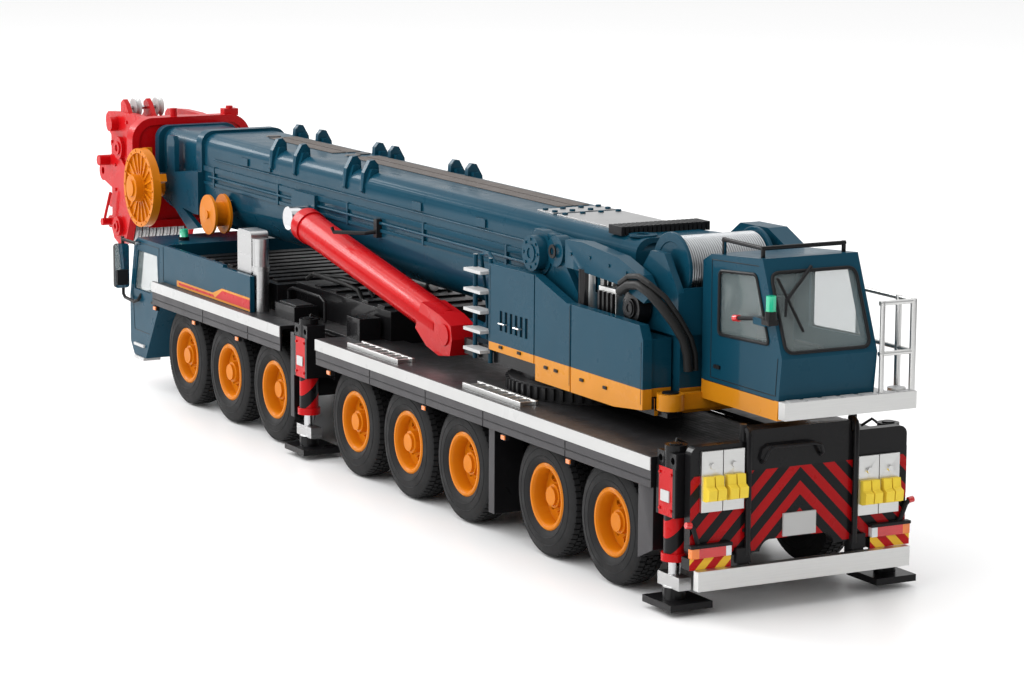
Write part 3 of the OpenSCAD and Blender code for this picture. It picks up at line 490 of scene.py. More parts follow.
def dress(node, finishes, rule=None, cuts=(), edge=None, crease=32):
    """Shows a CAD node as a copy with soft edges.

    rule picks a finish from a face's centre and normal. cuts are (axis, mm) planes that split faces.
    """
    edge = sizes().edge / MM if edge is None else edge
    bm = bmesh.new()
    bm.from_mesh(frame["nodes"][node].data)
    bmesh.ops.remove_doubles(bm, verts=bm.verts, dist=1e-6)
    bmesh.ops.dissolve_limit(bm, angle_limit=math.radians(0.5), verts=bm.verts, edges=bm.edges)
    for axis, at in cuts:
        normal = Vector([1 if axis == a else 0 for a in "xyz"])
        geom = bm.verts[:] + bm.edges[:] + bm.faces[:]
        bmesh.ops.bisect_plane(bm, geom=geom, plane_co=normal * at * MM, plane_no=normal)
    for f in bm.faces:
        f.smooth = True
        f.material_index = finishes.index(rule(f.calc_center_median() / MM, f.normal)) if rule else 0
    name = node + "_shown"
    mesh = bpy.data.meshes.new(name)
    bm.to_mesh(mesh)
    bm.free()
    finish_piece(name, mesh, finishes, BODY_OF[node], edge, [node], 2, crease)


class Piece:
    """Shared base of the operators that make pieces"""

    bl_options = {"INTERNAL"}

    def execute(self, context):
        self.make()
        return {"FINISHED"}


# Pieces


class CRANE_OT_wheels(Piece, bpy.types.Operator):
    """Tyres with road tread, and golden rims with wheel nuts"""

    bl_idname = "crane.wheels"
    bl_label = "Wheels"

    def tyre(self, parts, x, y):
        shoulder, seat = 3.2, 8.2
        base = TYRE_R - sizes().tread / MM
        wall = [(seat, shoulder), (seat + 0.5, 3.5), (9.6, 3.95), (10.2, TYRE_HALF), (11.2, 3.92),
                (12.3, 3.8), (13.1, 3.62), (base, shoulder)]
        profile = [(r, -w) for r, w in wall] + [(r, w) for r, w in reversed(wall)]
        centre = (x, y, TYRE_R)
        parts.lathe(profile, centre, AXIS_Y, "rubber", 56)
        rib = 0.16
        for r, at in ((9.9, 4.02), (11.7, 3.9)):
            for s in reversed(SIDES):
                foot, crest = s * (at - 0.12), s * (at + 0.06)
                parts.lathe([(r - rib, foot), (r, crest), (r + rib, foot)], centre, AXIS_Y, "rubber", 56)
        count = 58
        pitch = 2 * math.pi / count
        for k in range(count):
            for y0, y1, lag in ((-3.4, -1.75, 0.0), (-1.45, -0.1, 0.5), (0.1, 1.45, 0.0), (1.75, 3.4, 0.5)):
                self.block(parts, centre, (k + lag) * pitch, y0, y1, base - 0.3, pitch * 0.37)

    def block(self, parts, centre, angle, y0, y1, root, half):
        """Tread block. The outer edge of a shoulder block is worn down."""
        outer, worn = 3.3, 0.3
        points = []
        for r, grow in ((root, 1.15), (TYRE_R, 1.0)):
            for y in (y0, y1):
                cut = worn if abs(y) > outer and r == TYRE_R else 0.0
                for s in reversed(SIDES):
                    t = angle + s * half * grow
                    x, z = (r - cut) * math.sin(t), (r - cut) * math.cos(t)
                    points.append((centre[0] + x, centre[1] + y - math.copysign(cut, y), centre[2] + z))
        root_and_crown = [[0, 1, 3, 2], [4, 6, 7, 5]]
        flanks = [[0, 4, 5, 1], [2, 3, 7, 6], [0, 2, 6, 4], [1, 5, 7, 3]]
        parts.faces(points, root_and_crown + flanks, "rubber")

    def nuts(self, parts, x, y, seat):
        """Ring of ten wheel nuts with stud ends. seat is measured outwards from the wheel's middle."""
        side = math.copysign(1, y)
        circle, size, count = 4.0, 0.38, 10
        for k in range(count):
            a = 2 * math.pi * k / count
            p = Vector((x + circle * math.sin(a), y + side * seat, TYRE_R + circle * math.cos(a)))
            parts.rod(p, p + Vector((0, side * 0.55, 0)), size, "gold", 6)
            parts.rod(p + Vector((0, side * 0.5, 0)), p + Vector((0, side * 0.85, 0)), size * 0.5, "gold", 8)

    def make(self):
        tyres = {}
        for name in frame["nodes"]:
            if name.startswith("tyre"):
                tyres[name] = [middle(name)[1]] if name.startswith("tyre_") else [TRACK_Y, -TRACK_Y]
        for name, ys in tyres.items():
            parts = Maker()
            for y in ys:
                self.tyre(parts, middle(name)[0], y)
            parts.done(name + "_tread", BODY_OF[name], hides=[name])
        hub_y = 21.5
        for name, ys in tyres.items():
            steered = name.startswith("tyre_")
            rim = name.replace("tyre_", "rim_") if steered else name.replace("tyres", "wheelset")
            dress(rim, ["gold", "grey"], lambda c, n: "grey" if abs(c.y) < hub_y else "gold", edge=0.1)
            parts = Maker()
            seat = 0.5 if steered else (0.1 if name in {"tyres_4", "tyres_5"} else -0.5)
            for y in ys:
                self.nuts(parts, middle(name)[0], y, seat)
            parts.done(rim + "_nuts", BODY_OF[rim])
        for name in frame["nodes"]:
            if name.startswith("knuckle"):
                dress(name, ["grey"])


class CRANE_OT_carrier(Piece, bpy.types.Operator):
    """Frame, decks, cab and bright strips of the carrier"""

    bl_idname = "crane.carrier"
    bl_label = "Carrier"

    def make(self):
        beacon_foot, beacon_lens = 45.7, 46.7
        strip_y = 32.0
        dress("chassis_frame", ["black", "deck"], lambda c, n: "deck" if n.z > SQUARE else "black")
        dress("axle_beams", ["grey"])
        dress("slew_ring", ["grey"], edge=0.05)
        dress("side_decks", ["black", "deck", "skirt"], self.deck_finish)
        dress("bright_trim", ["silver", "white"], lambda c, n: "white" if abs(c.y) > strip_y else "silver")
        dress("carrier_cab", ["blue", "green_lens", "black"],
              lambda c, n: "green_lens" if c.z > beacon_lens else "black" if c.z > beacon_foot else "blue",
              cuts=[("z", beacon_lens)], edge=0.3)
        dress("carrier_glazing", ["pane"], edge=0.05)
        dress("cab_fittings", ["seat", "plastic", "mirror"], self.cab_finish)
        dress("exhaust_stack", ["steel"], edge=0.25)
        self.stripes()
        self.cab_trim()
        self.engine_deck()
        self.lamps()

    def deck_finish(self, c, n):
        if n.z > SQUARE:
            return "deck"
        return "skirt" if abs(n.y) > SQUARE and abs(c.y) > 30 else "black"

    def cab_finish(self, c, n):
        """Mirrors stand outside the cab; all else is seats and dash."""
        if c.x < 121.5 or abs(c.y) < 29:
            return "seat"
        return "mirror" if n.x < -SQUARE and c.x < 132.5 else "plastic"

    def stripes(self):
        """Swept colour stripes on the low side walls behind the cab."""
        parts = Maker()
        rear = 41.2
        for s in SIDES:
            ground, top = across(s, WING_Y, WING_Y + 0.06), across(s, WING_Y, WING_Y + 0.1)
            parts.prism([(94, 36.5), (94, 34.7), (rear, 34.7), (rear, 38.6), (60.8, 38.6), (67.3, 36.5)],
                        *ground, "band")
            parts.prism([(93, 36.0), (92, 35.3), (66, 35.3), (67, 36.0)], *top, "red")
            parts.prism([(65.6, 35.3), (rear, 35.3), (rear, 38.0), (60.4, 38.0)], *top, "red")
        parts.done("wing_stripes", "carrier")

    def cab_trim(self):
        parts = Maker()
        headlamp = [(0.05, 0.0), (1.7, 0.0), (1.7, 0.32), (0.05, 0.42)]
        door = [(108.2, 29.4), (107.6, 44.2), (124.6, 44.2), (128.6, 28.4), (127.4, 17.0), (115.4, 17.0)]
        for s in SIDES:
            for a, b in [*zip(door, door[1:]), ((104.3, 35), (104.3, 45.2))]:
                parts.seam(a, b, (WING_Y + 0.02) * s, 0.09)
            parts.box(110.4, 113.4, *across(s, WING_Y, WING_Y + 0.5), 26.6, 27.3, "plastic")
            mirror_arm = [(133, 31.4, 30.2), (133, 31.4, 27.2), (131.6, 31.4, 26.2), (124.6, 31.2, 25.8),
                          (122.6, 30.8, 26.6), (122.2, 29.9, 28.4)]
            parts.sweep(on_side(s, mirror_arm), 0.5, "plastic", 10)
            parts.box(131.6, 132.4, *across(s, 30.2, 33.8), 30.0, 34.6, "plastic")
            for z in (8.2, 12.2):
                parts.box(119.4, 127.2, *across(s, 25.0, 30.6), z, z + 0.8, "step")
            for x in (120.2, 126.0):
                parts.box(x, x + 0.8, *across(s, 25.4, 26.2), 8.4, 13.0, "silver")
        for s in SIDES:
            parts.box(NOSE_X - 0.1, NOSE_X + 0.25, *across(s, 14.5, 27.5), 15.4, 19.4, "plastic")
            for y in (17.4, 23.6):
                parts.lathe(headlamp, (NOSE_X + 0.2, y * s, 17.4), AXIS_X, "clear_lens", 20)
            wiper_arm = [(130.6, 4, 27.8), (129.4, 9, 33.0), (128.0, 13, 38.6)]
            parts.sweep(on_side(s, wiper_arm), 0.22, "plastic")
            parts.sweep(on_side(s, [(129.9, 7.6, 30.6), (127.0, 17.4, 42.0)]), 0.3, "plastic")
        parts.box(NOSE_X, NOSE_X + 0.3, -11.5, 11.5, 14.4, 24.4, "plastic")
        for i in range(7):
            z = 15.2 + i * 1.3
            parts.box(NOSE_X + 0.2, NOSE_X + 0.55, -11.0, 11.0, z, z + 0.7, "black")
        parts.box(NOSE_X - 1.4, NOSE_X + 0.5, -24, 24, 10.0, 11.4, "silver")
        parts.box(NOSE_X + 0.2, NOSE_X + 0.45, -4.2, 4.2, 11.7, 13.9, "white")
        parts.done("cab_trim", "carrier", 0.06)

    def engine_deck(self):
        """Slats, hoses, tank and boxes on the deck under the boom."""
        parts = Maker()
        for i in range(9):
            x = 44 + i * 6.4
            parts.box(x, x + 3.6, -20, 20, 42.0, 42.7, "plastic")
        for y in (-13.6, 13.6):
            route = [(38, y, 43.5), (34, y, 45.4), (12, y, 45.4), (5, y, 44.8), (2, y, 42.4)]
            parts.sweep(route, 0.7, "hose")
        parts.sweep([(36, 10, 44.4), (20, 11, 46.2), (8, 9.6, 46.0), (2.5, 10, 42.6)], 0.55, "hose")
        pipe_y, pipe_z = -9, 44.6
        parts.rod((30, pipe_y, pipe_z), (3, pipe_y, pipe_z), 1.5, "silver", 20)
        for x in (26, 15, 4):
            parts.rod((x, pipe_y, pipe_z), (x + 1.2, pipe_y, pipe_z), 1.8, "black", 20)
        foot = DECK_TOP - 0.1
        for s in SIDES:
            rail = [(39, 19, DECK_TOP + 0.1), (39, 19, 40.5), (36, 19, 41.5), (18, 19, 41.5), (15, 19, 40.5),
                    (15, 19, DECK_TOP + 0.1)]
            parts.sweep(on_side(s, rail), 0.5, "plastic")
            parts.box(-16, -8, *across(s, 17, 23.4), foot, 40.4, "black")
            parts.box(20, 33, *across(s, 18.6, 26), foot, 38.6, "black")
            parts.box(21, 32, *across(s, 19.6, 25), 38.4, 39.0, "deck")
        parts.done("engine_deck_gear", "carrier", 0.12)

    def lamps(self):
        """Side marker lamps and the panel joints of the skirts."""
        parts = Maker()
        lamp_z = 26.6
        foot_z, lens_z = (lamp_z - 0.7, lamp_z + 0.7), (lamp_z - 0.5, lamp_z + 0.5)
        for s in SIDES:
            for x in (105.6, 76, 45, -15.6, -71.6, -114, -146):
                parts.box(x - 1.1, x + 1.1, *across(s, 31.3, 32.3), *foot_z, "plastic")
                parts.box(x - 0.9, x + 0.9, *across(s, SKIRT_Y, 32.6), *lens_z, "amber_lens")
            for x0, x1 in ((16, 108), (-183.2, -7)):
                parts.box(x0 + 0.4, x1 - 0.4, *across(s, 32.15, 32.32), 29.1, 29.3, "plastic")
            for x in (38, 70, -40, -72, -103, -144):
                parts.box(x - 0.1, x + 0.1, *across(s, 32.15, 32.3), 27.5, 31.3, "plastic")
        parts.done("side_lamps", "carrier")


class CRANE_OT_rear(Piece, bpy.types.Operator):
    """Rear panel with chevrons, lamps and chocks"""

    bl_idname = "crane.rear"
    bl_label = "Rear panel"

    CHEVRON_LOW, CHEVRON_TOP = 13.4, 31.8
    RED_LAMP_IN, RED_LAMP_OUT = 20.4, 27.4

    def make(self):
        dress("rear_panel", ["black", "chevron", "hazard"], self.panel_finish,
              cuts=[("z", self.CHEVRON_TOP), ("z", self.CHEVRON_LOW)], edge=0.25)
        dress("wheel_chocks", ["chock", "silver"], self.rack_finish)
        dress("tail_lamps", ["red_lens", "amber_lens", "clear_lens"], self.lamp_finish,
              cuts=[("y", y * s) for s in SIDES for y in (self.RED_LAMP_OUT, self.RED_LAMP_IN)])
        self.fittings()

    def panel_finish(self, c, n):
        if n.x > -0.95:
            return "black"
        if c.z < self.CHEVRON_LOW:
            return "hazard" if abs(c.y) > 18 else "black"
        return "chevron" if self.CHEVRON_LOW < c.z < self.CHEVRON_TOP else "black"

    def rack_finish(self, c, n):
        """Yellow chocks in front of a bright plate, with a bright pin above them."""
        plate_x = -195.9
        pin_z = 33.0 if c.y > 0 else 29.0
        return "silver" if c.x > plate_x or c.z > pin_z else "chock"

    def lamp_finish(self, c, n):
        if abs(c.y) > self.RED_LAMP_OUT:
            return "amber_lens"
        return "clear_lens" if abs(c.y) < self.RED_LAMP_IN else "red_lens"

    def fittings(self):
        parts = Maker()
        out = -196.6
        handle = [(REAR_X, 10.4, 33.4), (-196.2, 10.4, 34.2), (out, 9.6, 36.2), (out, 8.2, 37.0),
                  (out, -2.6, 37.0), (out, -4.4, 36.4), (-196.2, -5.2, 34.6), (REAR_X, -5.2, 33.8)]
        parts.sweep(handle, 0.42, "plastic", 10)
        parts.box(REAR_X - 0.5, REAR_X + 0.1, -4.2, 4.6, 15.9, 21.2, "white")
        for s in SIDES:
            lamp_arm = [(-194.6, 25.6, 13.8), (-195.6, 27.4, 17.0), (-195.8, 28.6, 20.2),
                        (-195.8, 29.4, 21.0)]
            parts.sweep(on_side(s, lamp_arm), 0.55, "plastic", 10)
            parts.rod(*on_side(s, [(-195.8, 29.2, 21.0), (-195.8, 30.6, 21.2)]), 0.75, "red_lens", 14)
            tube = [(-193.2, 14.4, 41.3), (-194.8, 14.4, 41.2), (-195.6, 14.4, 40.6), (-195.9, 14.4, 39.4),
                    (-195.9, 14.4, 12.6)]
            parts.sweep(on_side(s, tube), 0.7, "black", 12)
            parts.box(REAR_X - 1.7, REAR_X, *across(s, 18.7, 29.6), 15.7, 16.4, "plastic")
            parts.box(REAR_X - 1.2, REAR_X, *across(s, 13.6, 17.4), 11.2, 14.6, "plastic")
            for z in (18.4, 26.4, 34.4):
                parts.rod((REAR_X + 0.1, 14.8 * s, z), (REAR_X - 0.4, 14.8 * s, z), 0.5, "plastic", 12)
        parts.done("rear_fittings", "carrier", 0.05)


class CRANE_OT_outriggers(Piece, bpy.types.Operator):
    """Outrigger beams, red jack barrels and pads"""

    bl_idname = "crane.outriggers"
    bl_label = "Outriggers"

    def make(self):
        for name in frame["nodes"]:
            if name.startswith("outrigger"):
                x = middle(name)[0]
                self.beam(name, x)
                self.guard(name, x)
            if name.startswith("jack"):
                dress(name, ["chrome", "steel", "black"], self.jack_finish)

    def beam(self, name, x):
        """Black beam and cap. The barrel's front is red with a striped band."""
        cap_z, front = 33.0, 2.9

        def finish(c, n):
            if c.z > cap_z - 0.1 or abs(c.y) < 23.4 or abs(c.x - x) > front and c.z > 14:
                return "black"
            return "jack_band" if 13.6 < c.z < 21.9 else "red"

        cuts = [("z", cap_z), ("x", x - front), ("x", x + front)]
        dress(name, ["red", "black", "jack_band"], finish, cuts)

    def jack_finish(self, c, n):
        pad_z, shoe_z = 5.4, 8.6
        if c.z < pad_z:
            return "black"
        return "steel" if c.z < shoe_z else "chrome"

    def guard(self, name, x):
        parts = Maker()
        s = 1 if name.endswith("left") else -1
        parts.box(x - 1.8, x + 1.8, *across(s, 31.2, 31.5), 25.2, 27.8, "white")
        for dx in (-2.4, 2.4):
            for z in (23.4, 31.6):
                parts.rod((x + dx, 31.1 * s, z), (x + dx, 31.5 * s, z), 0.4, "red", 6)
        parts.rod((x, 28.6 * s, 37.9), (x, 28.6 * s, 38.3), 1.5, "black", 18)
        hose = [(x + 2, 27.6, 37.2), (x + 3.4, 26.4, 38.4), (x + 3.6, 23.6, 37.0)]
        parts.sweep(on_side(s, hose), 0.35, "hose")
        parts.done(name + "_guard", BODY_OF[name], 0.05)


class CRANE_OT_superstructure(Piece, bpy.types.Operator):
    """Slewing platform, housings with the yellow band, ladders and winch"""

    bl_idname = "crane.superstructure"
    bl_label = "Superstructure"

    def make(self):
        band_cut = [("z", BAND_TOP)]
        dress("upper_frame", ["blue", "black", "silver", "band"], self.gear_finish, band_cut, edge=0.18)
        dress("side_housings", ["blue", "band", "plastic"], self.housing_finish, band_cut, crease=5)
        dress("access_ladder", ["step", "blue"],
              lambda c, n: "blue" if abs(c.y) < 21.5 and abs(n.z) < 0.5 else "step", edge=0.06)
        self.winch()
        self.trim()

    def housing_finish(self, c, n):
        """Black floors of the vent slots, and the band below."""
        if 22.0 < abs(c.y) < 22.2:
            return "plastic"
        return "band" if c.z < BAND_TOP else "blue"

    def gear_finish(self, c, n):
        """Black platform, pumps and valve blocks, bright rams, blue plates and the rear end of the band."""
        y = abs(c.y)
        right_winch_cheek = abs(c.y + 19.4) < 0.05
        if c.x < -163.8 and c.z < BAND_TOP and y < 20.1:
            return "band" if n.x < -SQUARE and c.x > -165.1 and c.z > 41 else "black"
        if c.z < 43.55:
            return "black"
        if y > 16.3 and -145 < c.x < -131 and c.z < 67:
            return "black" if y > 18.9 else "silver"
        if y > 14.5 and -132 < c.x < -126 and c.z < 68.3 and n.y * c.y > -SQUARE:
            return "black" if y > 16.45 else "blue"
        if y > 16.45 and -156 < c.x < -147.5 and c.z < 66.7 and not right_winch_cheek:
            return "black"
        return "blue"

    def winch(self):
        """Drum flanges and the layer of rope, one ridge a turn."""
        parts = Maker()
        half, pitch, core = 10.8, 0.62, 3.0
        profile = [(core, -half)]
        at = 0.1 - half
        while at < half - 0.1:
            profile += [(7.05, at), (7.32, at + 0.12), (7.42, at + 0.31), (7.32, at + 0.5)]
            at += pitch
        profile += [(core, half)]
        parts.lathe(profile, WINCH, AXIS_Y, "rope")
        bore, lip = 1.56, WINCH_R - 0.2
        flange = [(bore, -0.5), (lip, -0.5), (WINCH_R, -0.3), (WINCH_R, 0.3), (lip, 0.5), (6.2, 0.5),
                  (6.0, 0.3), (bore, 0.3)]
        for s in reversed(SIDES):
            outline = flange if s > 0 else [(r, -h) for r, h in reversed(flange)]
            parts.lathe(outline, (WINCH.x, 11.3 * s, WINCH.z), AXIS_Y, "blue")
        parts.done("winch_rope", "winch", hides=["winch_drum"])

    def trim(self):
        parts = Maker()
        for s in SIDES:
            self.housing_trim(parts, s)
            self.arm_trim(parts, s)
            rail = [(-76.8, 17.0, 44), (-76.8, 17.0, 52), (-77.4, 18.4, 60), (-79, 20.0, 66),
                    (-84, 20.4, 67), (-87.4, 20.2, 64.6)]
            parts.sweep(on_side(s, rail), 0.45, "blue")
        for k, r in ((0, 1.15), (1, 0.7)):
            route = [(-149, 20.7, 66.4 + 2 * k), (-153.5, 21.0, 68.6 + 2 * k), (-158, 21.0, 69.2 + 2 * k),
                     (-162.6, 20.8, 68.0 + 2 * k), (-165.6, 19.4 - k, 65.2 + 2 * k),
                     (-167.2, 17.0 - 1.5 * k, 61.4 + k), (-167.5, 14.6 - 2 * k, 57.6),
                     (-167.5, 13.4 - 2 * k, 54), (-167.4, 13.0 - 2 * k, 50)]
            parts.sweep(route, r, "hose", 12)
        for y in (17.0, 18.2):
            route = [(-138, y, 66), (-138.6, y + 0.3, 69), (-141, y, 68.4), (-146.5, y, 65.5),
                     (-150, y, 66.2)]
            parts.sweep(route, 0.45, "hose")
        parts.done("upper_trim", "superstructure", 0.05)

    def housing_trim(self, parts, s):
        """Latches, panel joints and grab handles of a housing."""
        for x, z in ((-94.5, 44.6), (-104, 44.6), (-117.5, 43.2), (-122.5, 43.2), (-135, 43), (-146, 43)):
            parts.box(x - 0.8, x + 0.8, *across(s, HOUSING_Y, HOUSING_Y + 0.35), z, z + 0.7, "plastic")
        for x, z0, z1 in ((-88.6, 46.4, 64.6), (-128.8, 41, 60.2), (-162.2, 42, 56.6)):
            parts.box(x - 0.09, x + 0.09, *across(s, HOUSING_Y, HOUSING_Y + 0.05), z0, z1, "plastic")
        foot, reach, z = HOUSING_Y, HOUSING_Y + 0.8, 51
        for x in (-96, -103.5):
            x0, x1 = x - 1.4, x + 1.4
            handle = [(x0, foot, z), (x0, reach, z), (x1, reach, z), (x1, foot, z)]
            parts.sweep(on_side(s, handle), 0.2, "silver")

    def arm_trim(self, parts, s):
        """Pivot cap with its bolts, and bosses and bolts along the arm."""
        cap_y, arm_y = 21.1, 19.6
        for k in range(8):
            a = 2 * math.pi * k / 8
            x, z = BOOM_PIVOT_X + 3.4 * math.cos(a), BOOM_PIVOT_Z + 3.4 * math.sin(a)
            parts.rod((x, cap_y * s, z), (x, (cap_y + 0.4) * s, z), 0.4, "blue", 6)
        parts.collar(1.3, 2.3, 0.4 * s, (BOOM_PIVOT_X, cap_y * s, BOOM_PIVOT_Z), AXIS_Y, "blue", 28)
        for x, z in ((-115, 71.4), (-151.6, 62.8)):
            parts.collar(0.9, 1.7, 0.35 * s, (x, arm_y * s, z), AXIS_Y, "plastic", 24)
        for x in (-124, -133, -142, -150):
            z = 72.4 - abs(x + 130) * 0.08
            parts.rod((x, arm_y * s, z), (x, (arm_y + 0.3) * s, z), 0.45, "blue", 6)


class CRANE_OT_crane_cab(Piece, bpy.types.Operator):
    """Crane cab with its panes, seat and walkway"""

    bl_idname = "crane.crane_cab"
    bl_label = "Crane cab"

    def make(self):
        dress("crane_cab_shell", ["blue", "band", "black", "green_lens"], self.shell_finish,
              cuts=[("z", CAB_BAND_TOP)], edge=0.3)
        dress("crane_cab_glazing", ["pane"], edge=0.05)
        dress("crane_cab_seat", ["seat"], edge=0.3)
        dress("crane_cab_walkway", ["silver", "step"],
              lambda c, n: "step" if n.z > SQUARE and c.z < 49 else "silver")
        self.rubber()
        self.fittings()

    def shell_finish(self, c, n):
        """Green lamp on a black foot at the left, black roof rail, and the band below."""
        if c.y > CAB_LEFT_Y + 0.2 and c.z > 60:
            return "green_lens" if c.z > 68.1 else "black"
        if c.z > CAB_ROOF_Z + 0.05:
            return "black"
        return "band" if c.z < CAB_BAND_TOP else "blue"

    def rounded(self, corners, r=1.3, steps=5):
        """Closed path with rounded corners through 3-D corner points."""
        path = []
        pts = [Vector(c) for c in corners]
        for i, b in enumerate(pts):
            a, c = pts[i - 1], pts[(i + 1) % len(pts)]
            p, q = b + (a - b).normalized() * r, b + (c - b).normalized() * r
            for k in range(steps + 1):
                t = k / steps
                path.append(p * (1 - t) ** 2 + b * 2 * t * (1 - t) + q * t * t)
        return path + [path[0]]

    def windscreen(self, y, z):
        """Point on the leaning windscreen."""
        lean = (CAB_ROOF_X - CAB_SILL_X) / (CAB_ROOF_Z - CAB_SILL_Z)
        return (CAB_SILL_X + (z - CAB_SILL_Z) * lean - 0.1, y, z)

    def rubber(self):
        """Window rubbers and the wiper."""
        parts = Maker()
        for y in (CAB_LEFT_Y + 0.05, CAB_RIGHT_Y - 0.05):
            window = [(-174.6, y, 59.4), (-174.6, y, 74), (-190, y, 75.2), (-195.8, y, 60.2)]
            parts.sweep(self.rounded(window), 0.38, "plastic")
        low, high, left, right = 58.8, 75.9, 8.2, -14.4
        corners = ((right, low), (left, low), (left, high), (right, high))
        parts.sweep(self.rounded([self.windscreen(*c) for c in corners], 2.2), 0.42, "plastic")
        lift = Vector((-0.7, 0, 0.28))
        for path, r in (
            ([(-2.3, 76.6), (1.8, 73.2), (5.9, 69.8)], 0.42),
            ([(7.2, 74.6), (5.6, 70.2), (3.1, 62.9)], 0.36),
            ([(5.9, 69.8), (7.0, 66.4)], 0.3),
        ):
            parts.sweep([Vector(self.windscreen(*p)) + lift for p in path], r, "plastic")
        parts.done("cab_rubber", "crane_cab")

    def fittings(self):
        parts = Maker()
        foot, top = (-171.4, 49.0), (-171.4, 76.2)
        sill = (-198.6, 49.0)
        line_z = (CAB_BAND_TOP - 0.1, CAB_BAND_TOP + 0.05)
        for s, y in ((1, CAB_LEFT_Y), (-1, CAB_RIGHT_Y)):
            for a, b in ((foot, top), (foot, sill), (sill, (-199.4, 57.6)), (top, (-191.0, 77.2))):
                parts.seam(a, b, y + 0.02 * s, 0.1)
            parts.box(-175.6, -173.2, *sorted((y, y + 0.5 * s)), 51.4, 52.2, "plastic")
            parts.box(-198.2, -168.6, *sorted((y, y + 0.06 * s)), *line_z, "plastic")
        parts.sweep([(-197.0, 9.4, 66.6), (-197.4, 11.0, 66.4), (-185.4, 11.2, 64.8)], 0.5, "plastic")
        parts.rod((-185.6, 11.2, 64.8), (-183.8, 11.2, 64.6), 0.8, "red_lens", 14)
        parts.box(-197.4, -192.4, 10.2, 11.8, 64.6, 66.2, "blue")
        for i in range(7):
            y = -25 + i * 4.9
            parts.box(-202.4, -200.2, y, y + 3.6, 47.9, 48.2, "step")
        parts.done("crane_cab_fittings", "crane_cab", 0.05)


